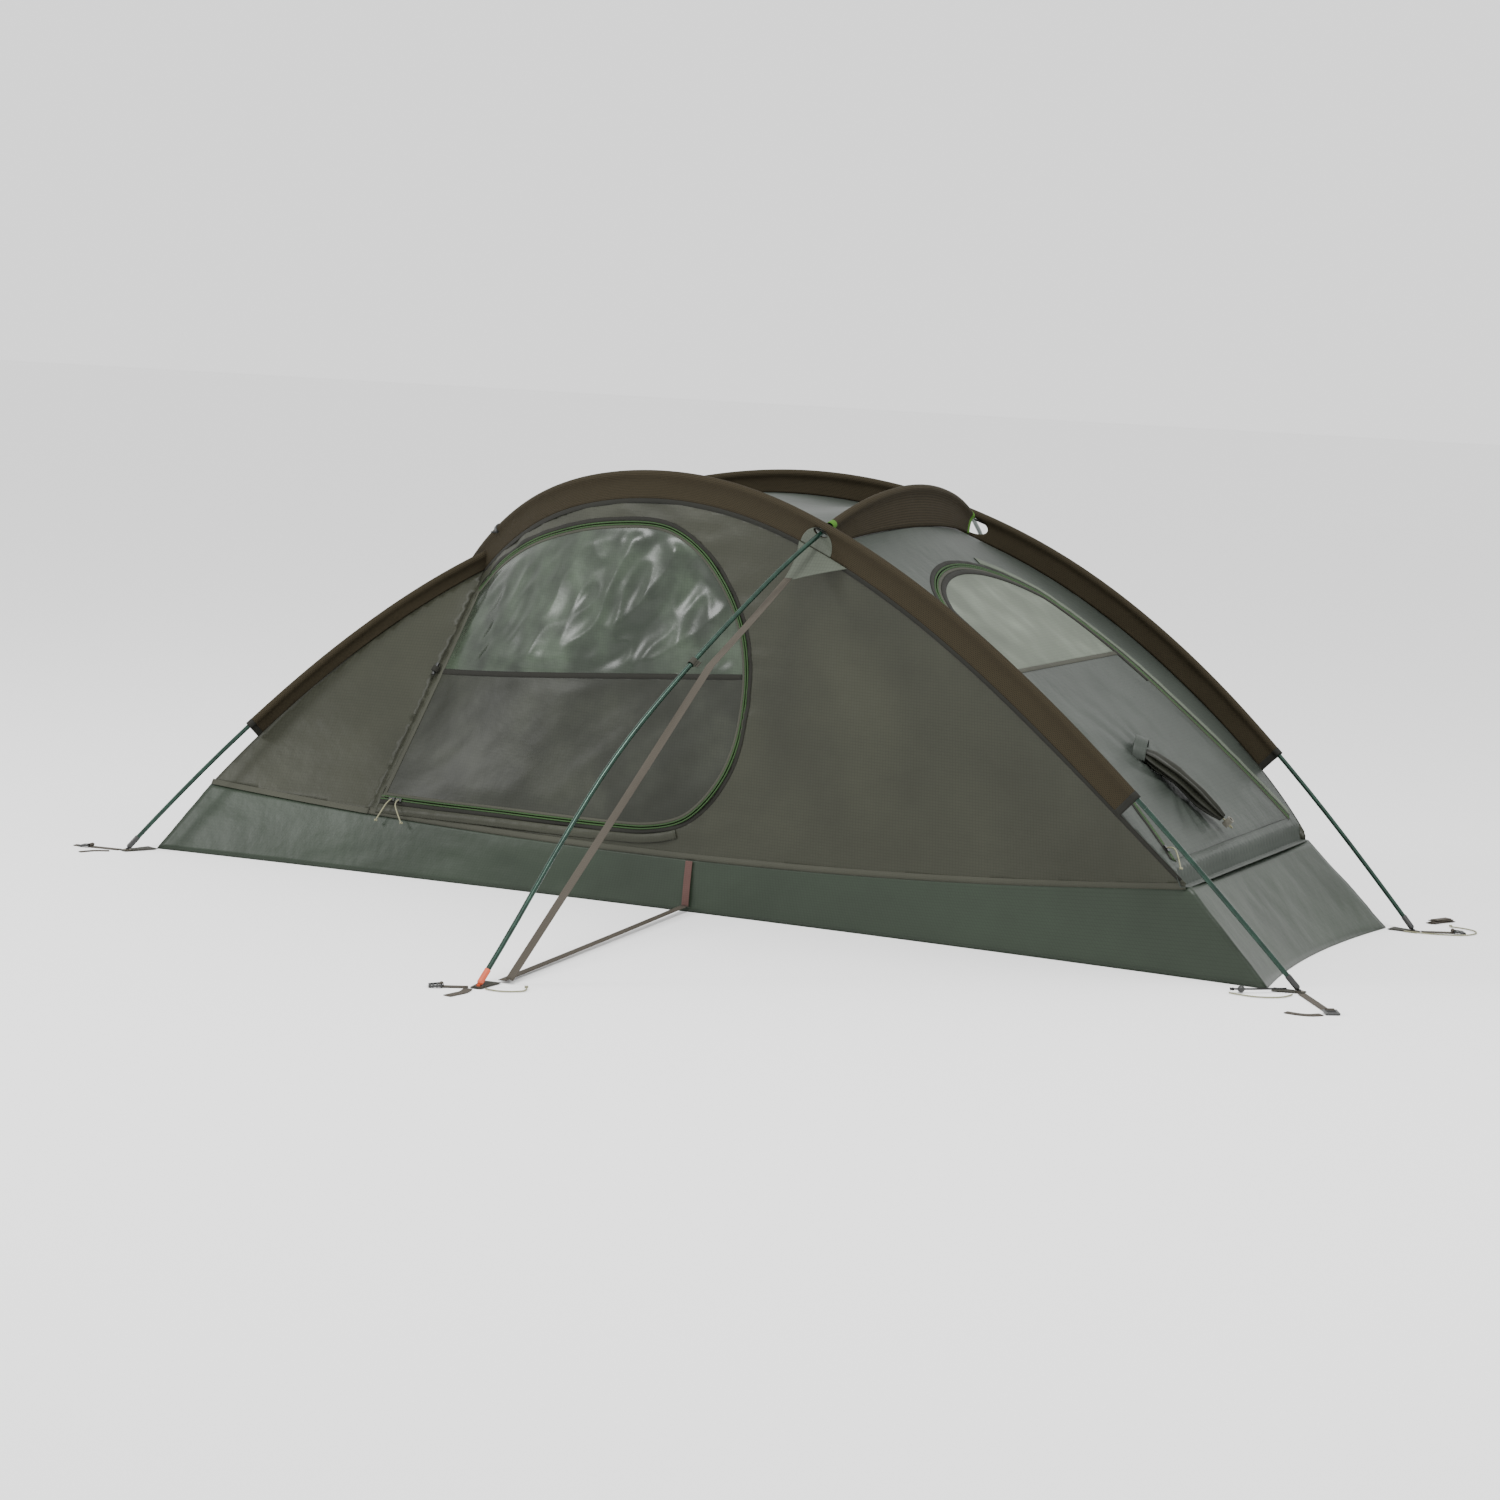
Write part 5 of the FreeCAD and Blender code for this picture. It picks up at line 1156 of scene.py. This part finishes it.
door_zip = zip_halves("door_zip", wall_sheet, door_line, DOOR_TURN, "near_door", wall_relief,
                      film_relief)
head_zip = zip_halves("head_zip", roof_sheet, arch_line, ARCH_TURN, "head_door", head_relief,
                      head_leaf_relief)
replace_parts(door_zip[0], "zip_tent_halves")
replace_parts(door_zip[1], "door_zip_leaf_half")
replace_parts(head_zip[1], "head_zip_leaf_half")

hinge_line = resample([DOOR[-1], DOOR[0]], 5.0)
band_on("hinge_seam", wall_sheet, hinge_line,
        [(-7, 0.3), (-6, 1.2), (-1, 1.6), (2, 1.4), (3.5, 0.4)], tape_cloth)


def divide_point(x):
    return (x, DIVIDE_Z + DIVIDE_SLOPE * (x - DIVIDE_X))


divide_line = resample([divide_point(x) for x in (-648, -500, -300, -100, 76)], 5.0)
band_on("door_divider", wall_sheet, divide_line,
        [(-5, 0.2), (-4.4, 1.0), (4.4, 1.0), (5, 0.2)], binding_dark, "near_door",
        relief=film_relief)
head_divide_line = resample([(HEAD_DIVIDE, y) for y in (-262, 0, 262)], 5.0)
band_on("head_divider", roof_sheet, head_divide_line,
        [(-4, 0.2), (-3.4, 1.0), (3.4, 1.0), (4, 0.2)], tape_cloth, "head_door",
        relief=head_leaf_relief)
flap_line = resample([p for p in door_line if p[0] < -40 and p[1] < 200][::-1], 6.0)


def flap_relief(flat, points):
    return 1.5 + 1.2 * soft_noise(points, 18, 4.0, (1, 1, 0.3))


band_on("storm_flap", wall_sheet, flap_line,
        [(-11, 0.5), (-12, 1.6), (-19, 2.6), (-27, 1.8), (-28, 0.2)], wall_cloth,
        relief=flap_relief)

SEAM_STEP = 8.0
top_line = resample(wall_edges[EDGE_POINTS:2 * EDGE_POINTS - 2], SEAM_STEP)
low_line = resample(wall_edges[:EDGE_POINTS - 1], SEAM_STEP)
for tag, mirror in (("near", False), ("far", True)):
    band_on("upper_seam_" + tag, wall_sheet, top_line,
            [(-1, 1.2), (2, 1.8), (8, 1.2), (9, 0.2)], binding_dark, mirror=mirror)
    band_on("tub_seam_" + tag, wall_sheet, low_line,
            [(-4, 0.8), (0, 1.8), (7, 1.2), (8, 0.2)], tape_cloth, mirror=mirror)

window_edge = resample([p for p in arch_line if p[0] < 640], 6.0)
band_on("head_window_binding", roof_sheet, window_edge,
        [(ARCH_TURN * s, h) for s, h in ((9.8, 0.4), (10.4, 1.3), (19, 1.3), (19.6, 0.2))],
        binding_dark, "head_door", relief=head_leaf_relief)
far_edge = resample([p for p in arch_line if p[1] > 60], 6.0)[8:]
band_on("head_far_binding", roof_sheet, far_edge,
        [(-ARCH_TURN * s, h) for s, h in ((13, 0.4), (13.8, 1.6), (27, 1.6), (27.8, 0.3))],
        webbing_pale, relief=head_relief)


# ---------------------------------------------------------------- sleeve trims
def sleeve_strip(name, line, seam_of, s_range, w_range, material, grow=1.0, across=9):
    """A narrow band lying on a sleeve, from its own length and width round the pole."""
    count = max(2, int((s_range[1] - s_range[0]) / 4) + 1)
    s, w = np.meshgrid(np.linspace(*s_range, count), np.linspace(*w_range, across),
                       indexing="ij")
    flat = np.stack([s.ravel(), w.ravel()], -1)
    points = sleeve_map(line, seam_of, flat, grow)
    return make_mesh(name, points, np.array(grid_faces(count, across))[:, ::-1], material,
                     "tent", flat, thick=SLEEVE_THICK)


END_BAND, END_LAP, STITCH_HALF = 9.0, 4.0, 1.6


def end_band(name, line, seam_of, low, material):
    """Binding over the raw end of a sleeve."""
    sleeve_strip(name, line, seam_of, (low, low + END_BAND + END_LAP),
                 (-HALF_WIDE, HALF_WIDE), material, across=61)


for tag, line, seam in (("a", LINE_A, SEAM_A), ("b", LINE_B, SEAM_B)):
    until = line.length - SLEEVE_UNTIL
    end_band("sleeve_%s_head_end" % tag, line, seam.value, SLEEVE_FROM - END_BAND,
             binding_dark)
    end_band("sleeve_%s_foot_end" % tag, line, seam.value, until - END_LAP, binding_dark)
    for side, place in ((-1, "in"), (1, "out")):
        edge = side * (SLEEVE_RADIUS * WRAP + 5)
        sleeve_strip("sleeve_%s_stitch_%s" % (tag, place), line, seam.value,
                     (SLEEVE_FROM, until), (edge - STITCH_HALF, edge + STITCH_HALF),
                     binding_dark, 0.5, 4)
end_band("sleeve_c_near_end", LINE_C, roof_under, cb + SHORT_SLEEVE_IN - END_BAND,
         binding_green)
end_band("sleeve_c_far_end", LINE_C, roof_under, ca - SHORT_SLEEVE_IN - END_LAP,
         binding_green)
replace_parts(piece_called("sleeve_a_head_end"), "sleeve_end_bindings")
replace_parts(piece_called("sleeve_c_near_end"), "sleeve_c_bindings")


# ---------------------------------------------------------------- webbing
def strap(name, path, side, wide, thick, material, body="tent"):
    """Flat woven strap swept along a path in mm; side is the direction of its width."""
    path = np.array(path, float)
    ahead = unit(np.gradient(path, axis=0))
    side = np.broadcast_to(np.array(side, float), path.shape)
    side = unit(side - ahead * (side * ahead).sum(-1)[:, None])
    normal = np.cross(side, ahead)
    edge, half = wide / 2, thick / 2
    section = [(-edge, -half * 0.4), (-edge, half * 0.4), (-edge + half, half)]
    section += [(w, half) for w in np.linspace(-edge, edge, 9)[1:-1]]
    section += [(edge - half, half), (edge, half * 0.4), (edge, -half * 0.4),
                (edge - half, -half)]
    section += [(w, -half) for w in np.linspace(edge, -edge, 9)[1:-1]]
    section += [(-edge + half, -half)]
    count = len(section)
    points = np.stack([path + side * w + normal * h for w, h in section], 1)
    places = np.array([w for w, _ in section])
    flat = np.stack(np.broadcast_arrays(distance_along(path)[:, None], places[None]), -1)
    faces = [face[::-1] for face in grid_faces(len(path), count, closed=True)]
    faces.append(tuple(range(count)))
    faces.append(tuple(range((len(path) - 1) * count, len(path) * count))[::-1])
    return make_mesh(name, points.reshape(-1, 3), faces, material, body, flat.reshape(-1, 2))


def curve_through(points, step=4.0):
    return resample(catmull(points), step)


WEB_WIDE, WEB_THICK = 15.0, 1.2
# for each foot: pole tip, where the groundsheet's corner pulls, heading of the strap, and
# the strap's length from the tip's tab to its buckle
FEET = {
    "head_near": ((1150, -365), (1106, -372), (0.55, -0.83), 150),
    "head_far": ((1150, 365), (1106, 372), (0.87, 0.5), 60),
    "foot_near": ((-1150, -465), (-1131, -408), (-1.0, -0.12), 63),
    "foot_far": ((-1150, 465), (-1131, 408), (-1.0, 0.12), 63),
    "side_near": ((62, -1200), (58, -1150), (-0.85, -0.53), 42),
    "side_far": ((62, 1200), (58, 1150), (-0.85, 0.53), 42),
}
STRAP_START, BUCKLE_RISE, LOOP_RADIUS = 16.0, 4.1, 3.1
TAB_HALF_INNER, TAB_HALF_OUTER, TAB_END, EYELET_RADIUS = 16, 9.5, 11, 6.3
TAB_RISE, STRAP_LIFT, BUCKLE_STRAP_THICK = 1.9, 0.95, 1.1
for name, (ground, anchor, outward, long) in FEET.items():
    ground = np.array([*ground, 0.0])
    run = np.array([*anchor, 0.0]) - ground
    outward = unit(np.array([*outward, 0.0]))
    side = np.array([-outward[1], outward[0], 0.0])
    across = unit(np.array([-run[1], run[0], 0.0]))
    far = ground - unit(run) * TAB_END
    corners = [ground + run + across * TAB_HALF_INNER, ground + run - across * TAB_HALF_INNER,
               far - across * TAB_HALF_OUTER, far + across * TAB_HALF_OUTER]
    outline = even_outline(np.array(corners)[:, :2], 3.0)
    eyelet = oval(ground[0], ground[1], EYELET_RADIUS, EYELET_RADIUS, 24)
    flat, faces = fill(outline, 3.5, [eyelet])
    rise = TAB_RISE + 0.5 * soft_noise(np.column_stack([flat, np.zeros(len(flat))]), 18, 3.0)
    make_mesh("tab_" + name, np.column_stack([flat, rise]), faces, webbing_dark, "tent", flat,
              thick=1.0)
    start = ground + outward * STRAP_START
    end = start + outward * long + UP * BUCKLE_RISE
    low = start + UP * STRAP_LIFT
    reach = long - LOOP_RADIUS - 3
    path = [low + outward * s for s in np.linspace(0, reach, max(4, int(reach / 6)))]
    ring = [end + LOOP_RADIUS * (outward * math.cos(a) + UP * math.sin(a))
            for a in np.linspace(-math.pi / 2, math.pi * 1.38, 20)]
    strap("strap_" + name, np.vstack([path, ring]), side, WEB_WIDE, BUCKLE_STRAP_THICK,
          webbing)
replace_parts(piece_called("tab_head_near"), "foot_tabs")
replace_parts(piece_called("strap_head_near"), "buckle_straps")

PAST_BUCKLE, BUNDLE_STEP = 23, 1.9


def flat_tail(name, points, wide, low=0.3):
    """A loose strap end lying on the ground, or on the straps below it."""
    path = curve_through([(x, y, low + WEB_THICK / 2) for x, y in points])
    ahead = np.gradient(path, axis=0)
    side = np.stack([-ahead[:, 1], ahead[:, 0], np.zeros(len(path))], -1)
    strap(name, path, unit(side), wide, WEB_THICK, webbing)


flat_tail("tail_head_near", [(1236, -530), (1222, -546), (1204, -551), (1182, -548)], WEB_WIDE)
for name in ("foot_near", "foot_far"):
    ground, _, outward, long = FEET[name]
    outward = unit(np.array(outward, float))
    start = np.array(ground, float) + outward * (STRAP_START + long + PAST_BUCKLE)
    flat_tail("tail_" + name, [start, start + outward * 6, start + outward * 12], WEB_WIDE)
for tag, y in (("near", -1), ("far", 1)):
    flat_tail("tail_side_" + tag, [(56, y * 1222), (63, y * 1248), (61, y * 1268),
                                   (58, y * 1290)], WEB_WIDE)
    flat_tail("tag_" + tag, [(-1172, y * 492), (-1194, y * 510), (-1206, y * 540)], 9)
for layer, (angle, long) in enumerate(((62, 66), (70, 60), (58, 52), (66, 44))):
    turn = math.radians(angle)
    heading = np.array([math.cos(turn), math.sin(turn)])
    middle = np.array([1166.0, 505.0])
    flat_tail("bundle_%d" % layer, [middle - heading * long / 2, middle + heading * 3,
                                    middle + heading * long / 2], WEB_WIDE,
              0.3 + layer * BUNDLE_STEP)
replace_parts(piece_called("tail_head_near"), "strap_tails")

GUSSET_LOW = np.array([203, -418, 621.0])
TIE = np.array([196, -696, 488.0])
STRAP_FOOT = np.array([86, -1144, 7.4])
GUSSET_FROM_X, GUSSET_WIDE = 186, 109
BASE_STRAP_OUT, BASE_STRAP_IN = np.array([72, -1142, 4.1]), np.array([-2, -355, 11.0])
WALL_TAPE_LOW, WALL_TAPE_TOP = np.array([-2, -352.5, 9.0]), np.array([-2, -343.2, 92.0])
POLE_TIE, TIE_RADIUS = np.array([191, -700, 506]), 6.0


def seam_b_at(x):
    """The point of sleeve B's seam nearest to a place along the tent."""
    t = np.linspace(0, 1, 4001)
    return SEAM_B.value(t)[np.abs(SEAM_B.value(t)[:, 0] - x).argmin()]


def gusset_cloth(name, mirror):
    """Triangle of cloth from the sleeve seam down to the guy strap, a little hollow."""
    rows, columns = 21, 17
    share = np.linspace(0, 1, columns)
    top = np.array([seam_b_at(GUSSET_FROM_X + GUSSET_WIDE * s) for s in share])
    low = np.array([GUSSET_LOW + [-8 + 16 * s, 0, 0] for s in share])
    down = np.linspace(0.0, 1.0, rows)
    points = np.stack([mixed(top, low, np.full(columns, d)) for d in down])
    pinch = np.sin(down * math.pi)[:, None] * np.sin(share * math.pi)[None]
    edge_in = (share - 0.5)[None] * np.sin(down * math.pi)[:, None]
    points[..., 0] -= edge_in * 10
    points[..., 1] += pinch * 3.0
    points = points.reshape(-1, 3) * (MIRROR if mirror else 1)
    faces = np.array(grid_faces(rows, columns))
    if mirror:
        faces = faces[:, ::-1]
    make_mesh(name, points, faces, patch_cloth, "tent", points[:, [0, 2]], thick=0.8)


def guy_path():
    """Strap from the gusset down to the tie on the short pole, and on to the pole's foot."""
    upper = curve_through([GUSSET_LOW + (0, 0, 2), (GUSSET_LOW + TIE) / 2 - (0, 0, 0.6), TIE], 8)
    lower = curve_through([TIE, TIE * 0.5 + STRAP_FOOT * 0.5 - (0, 0, 1.0), STRAP_FOOT], 8)
    return np.vstack([upper[:-1], lower])


def base_path():
    """Strap along the ground from the short pole's foot to the groundsheet, sagging a little."""
    path = mixed(BASE_STRAP_OUT[None], BASE_STRAP_IN[None], np.linspace(0, 1, 60))
    path[:, 2] -= np.sin(np.linspace(0, math.pi, 60)) * 0.8
    return path


def wall_tape_path():
    """Tape on the groundsheet's wall, from the base strap up to the seam."""
    path = mixed(WALL_TAPE_LOW[None], WALL_TAPE_TOP[None], np.linspace(0, 1, 24))
    path[:, 1] -= 1.4 + 1.0 * np.sin(np.linspace(0, math.pi, 24))
    return path


def pole_tie_path():
    """Loop round the short pole that holds the guy strap to it, and the pole's heading."""
    t = LINE_C.table_t[np.abs(LINE_C.value(LINE_C.table_t) - POLE_TIE).sum(1).argmin()]
    centre, axis = LINE_C.value(t)[0], LINE_C.tangent(t)[0]
    toward = TIE - centre
    toward = unit(toward - axis * (axis @ toward))
    other = np.cross(axis, toward)
    ring = [centre + TIE_RADIUS * (toward * math.cos(a) + other * math.sin(a))
            for a in np.linspace(0.05, 2 * math.pi - 0.05, 28)]
    ends = [centre + toward * 14, centre + toward * 9 + other * 0.8]
    return np.vstack([ends, ring, [centre + toward * 9 - other * 0.8]]), axis


ALONG_X = (1, 0, 0)
tie_path, tie_axis = pole_tie_path()
for tag, mirror in (("near", False), ("far", True)):
    turn = MIRROR if mirror else np.ones(3)
    gusset_cloth("gusset_" + tag, mirror)
    strap("guy_strap_" + tag, guy_path() * turn, ALONG_X, WEB_WIDE, WEB_THICK, webbing)
    strap("base_strap_" + tag, base_path() * turn, ALONG_X, WEB_WIDE, WEB_THICK, webbing)
    strap("wall_tape_" + tag, wall_tape_path() * turn, ALONG_X, 14, WEB_THICK, webbing_pink)
    strap("pole_tie_" + tag, tie_path * turn, tie_axis * turn, 13, 1.1, webbing_dark)
for name, node in (("gusset_near", "gussets"), ("guy_strap_near", "outrigger_straps"),
                   ("wall_tape_near", "wall_tapes"), ("pole_tie_near", "pole_ties")):
    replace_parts(piece_called(name), node)


# ---------------------------------------------------------------- roll-up toggle
TOGGLE = np.array([-662.96, -152.13, 371.87])
TOGGLE_OUT = unit(np.array([-0.5356, -0.6626, 0.5236]))
TOGGLE_LOOP_RADIUS = 4.5
loop_side = unit(np.cross(TOGGLE_OUT, [0, 0, 1.0]))
loop_up = np.cross(TOGGLE_OUT, loop_side)
loop_path = [TOGGLE + TOGGLE_LOOP_RADIUS * (loop_side * math.cos(a) + loop_up * math.sin(a))
             for a in np.linspace(0, 2 * math.pi * 0.98, 24)]
loop_band = strap("toggle_loop_band", loop_path, TOGGLE_OUT, 4.0, 1.0, binding_dark,
                  "door_toggle")
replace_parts(loop_band, "toggle_loop")
fold_points = [TOGGLE + loop_side * across + TOGGLE_OUT * out
               for across, out in ((9, -4), (7, 3), (0, 6.4), (-7, 3), (-9, -4))]
strap("toggle_fold", curve_through(fold_points, 2.0), loop_up, 11, 1.0, binding_dark,
      "door_toggle")


# ---------------------------------------------------------------- seams of the foot gores
SEAM_POINTS = 60
seam_lift = np.array([0.0, -1.7, 1.0])
gore_side = wall(np.zeros(SEAM_POINTS), np.linspace(0.0, 0.985, SEAM_POINTS))
strap("gore_seam_far", (gore_side + seam_lift) * MIRROR, (1, 0, 0), 13, 1.0, wall_cloth)
gore_low = gore(np.linspace(0, 1, SEAM_POINTS), np.zeros(SEAM_POINTS))
for tag, turn in (("near", np.ones(3)), ("far", MIRROR)):
    strap("gore_tub_seam_" + tag, (gore_low + seam_lift) * turn, np.array([0, 0.5, 0.85]) * turn,
          11, 1.0, tape_cloth)


# ---------------------------------------------------------------- vent sock
VENT_FROM, VENT_TO = np.array([753.0, -104.0]), np.array([883.0, -44.0])
# share of the sock's length, width, depth and lift off the cloth, mm
VENT_SECTIONS = ((0, 30, 8, 8), (0.12, 56, 20, 13), (0.4, 62, 28, 17), (0.7, 52, 28, 19),
                 (0.9, 30, 22, 20), (1.0, 15, 14, 21))
PLEATS, AROUND = 7, 120


def vent_sock():
    """Gathered tube of cloth, pleated towards its drawn end."""
    table = np.array(VENT_SECTIONS, float)
    shares = np.linspace(0, 1, 56)
    wide, tall, lift = (np.interp(shares, table[:, 0], table[:, k]) for k in (1, 2, 3))
    base, normals = roof_sheet.lift(mixed(VENT_FROM[None], VENT_TO[None], shares))
    run = unit(base[-1] - base[0])
    a = np.linspace(0, 2 * math.pi, AROUND, endpoint=False)
    rings = []
    for i, share in enumerate(shares):
        normal = normals[i]
        side = unit(np.cross(normal, run))
        pleats = 0.5 + 0.5 * np.cos(a * PLEATS + 1.1 * math.sin(share * 4))
        crumple = np.array([noise.noise(Vector((math.cos(t) * 1.6, math.sin(t) * 1.6,
                                                share * 3.2))) for t in a])
        depth = 0.24 + 0.16 * share
        size = 1 - depth * pleats + 0.30 * crumple * (1 - share * 0.5)
        rings.append(base[i] + normal * lift[i]
                     + side * (np.cos(a) * wide[i] / 2 * size)[:, None]
                     + normal * (np.sin(a) * tall[i] / 2 * size)[:, None]
                     + run * (crumple * 5.0 * math.sin(math.pi * share))[:, None])
    points = np.vstack(rings)
    faces = grid_faces(len(shares), AROUND, closed=True)
    faces.append(tuple(range(AROUND))[::-1])
    faces.append(tuple(range((len(shares) - 1) * AROUND, len(shares) * AROUND)))
    flat = np.stack([np.tile(a * 25, len(shares)), np.repeat(shares * 160, AROUND)], -1)
    return make_mesh("vent_sock_cloth", points, faces, vent_cloth, "head_door", flat)


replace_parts(vent_sock(), "vent_sock")
HOOD_HALF_WIDE, HOOD_LOW, HOOD_RISE, HOOD_BACK = 38, 2, 24, 16
vent_base, vent_normals = roof_sheet.lift(mixed(VENT_FROM[None], VENT_TO[None],
                                                np.array([0.02])))
vent_foot, vent_out = vent_base[0], vent_normals[0]
vent_run = unit(roof_sheet.lift(VENT_TO[None])[0] - roof_sheet.lift(VENT_FROM[None])[0])[0]
vent_side = unit(np.cross(vent_out, vent_run))
hood_path = [vent_foot + vent_side * (HOOD_HALF_WIDE * math.cos(a))
             + vent_out * (HOOD_LOW + HOOD_RISE * math.sin(a))
             - vent_run * (HOOD_BACK * math.sin(a))
             for a in np.linspace(0.05, math.pi - 0.05, 40)]
strap("vent_hood_lip", hood_path, vent_run * 0.9 + vent_out * 0.35, 24, 1.4, head_cloth,
      "head_door")


# ---------------------------------------------------------------- hard parts of the frame
def hard_material(name, colour, rough, metallic=0.0, worn=0.3, grain=0.15, size=300.0):
    material = new_material(name, colour, rough, metallic=metallic)
    nodes = Nodes(material)
    nodes.colour(nodes.ramp(nodes.noise(size / 6, 3.0),
                            [(0.3, shaded(colour, 1 - worn)), (0.75, shaded(colour, 1 + worn))]))
    rough_map = nodes.add("ShaderNodeMapRange")
    rough_map.inputs["To Min"].default_value = rough * 0.75
    rough_map.inputs["To Max"].default_value = min(1.0, rough * 1.3)
    nodes.link(nodes.noise(size / 3, 4.0), rough_map.inputs["Value"])
    nodes.link(rough_map.outputs["Result"], nodes.shader.inputs["Roughness"])
    nodes.bump(nodes.noise(size * 3, 2.0), grain, 0.0002)
    return material


pole_paint = hard_material("pole_paint", (0.010, 0.032, 0.021), 0.25, 0.5, grain=0.04)
ferrule_metal = hard_material("ferrule_metal", (0.35, 0.36, 0.37), 0.3, 1.0, 0.1)
grommet_metal = hard_material("grommet_metal", (0.16, 0.14, 0.11), 0.35, 0.9)
black_plastic = hard_material("black_plastic", (0.017, 0.018, 0.017), 0.42)
orange_plastic = hard_material("orange_plastic", (0.50, 0.075, 0.020), 0.45, worn=0.15)
pale_plastic = hard_material("pale_plastic", (0.10, 0.095, 0.075), 0.5)
black_metal = hard_material("black_metal", (0.022, 0.023, 0.021), 0.3, 0.6)
NODE_PAINT = {
    "pole_a_tubes": pole_paint, "pole_b_tubes": pole_paint, "pole_c_tubes": pole_paint,
    "pole_ferrules": ferrule_metal, "pole_shock_cords": elastic_cloth,
    "pole_tips": black_plastic, "short_pole_tips": orange_plastic, "grommets": grommet_metal,
    "roll_up_toggle": black_plastic, "sleeve_hook": black_plastic,
    "door_slider_left": black_metal, "door_slider_right": black_metal,
    "head_slider": black_metal, "cord_lock_case": pale_plastic,
    "cord_lock_plunger": black_plastic, "ball_toggle": black_plastic,
}
for name in FEET:
    NODE_PAINT["buckle_" + name] = black_plastic
for name, material in NODE_PAINT.items():
    for slot in NODES[name].material_slots:
        slot.material = material


# ---------------------------------------------------------------- room
def add_room():
    floor_material = new_material("floor", (0.93, 0.93, 0.93), 0.95, specular=0.1)
    data = bpy.data.meshes.new("floor")
    reach = 40.0
    data.from_pydata([(-reach, -reach, -0.0005), (reach, -reach, -0.0005),
                      (reach, reach, -0.0005), (-reach, reach, -0.0005)], [], [(0, 1, 2, 3)])
    floor = bpy.data.objects.new("floor", data)
    data.materials.append(floor_material)
    bpy.context.scene.collection.objects.link(floor)
    world = bpy.data.worlds.new("studio")
    bpy.context.scene.world = world
    world.use_nodes = True
    world.node_tree.nodes["Background"].inputs["Color"].default_value = (1, 1, 1, 1)
    world.node_tree.nodes["Background"].inputs["Strength"].default_value = 1.5
    for name, place, aim, size, power in (
            ("key", (1.6, -2.2, 5.0), (0, 0, 0.3), 1.6, 250),
            ("side", (-4.0, -3.2, 2.6), (0.0, 0, 0.3), 1.2, 120)):
        lamp = bpy.data.lights.new(name, "AREA")
        lamp.size = size
        lamp.energy = power
        lamp_object = bpy.data.objects.new(name, lamp)
        lamp_object.location = place
        lamp_object.rotation_euler = (Vector(aim) - Vector(place)).to_track_quat(
            "-Z", "Y").to_euler()
        bpy.context.scene.collection.objects.link(lamp_object)


add_room()
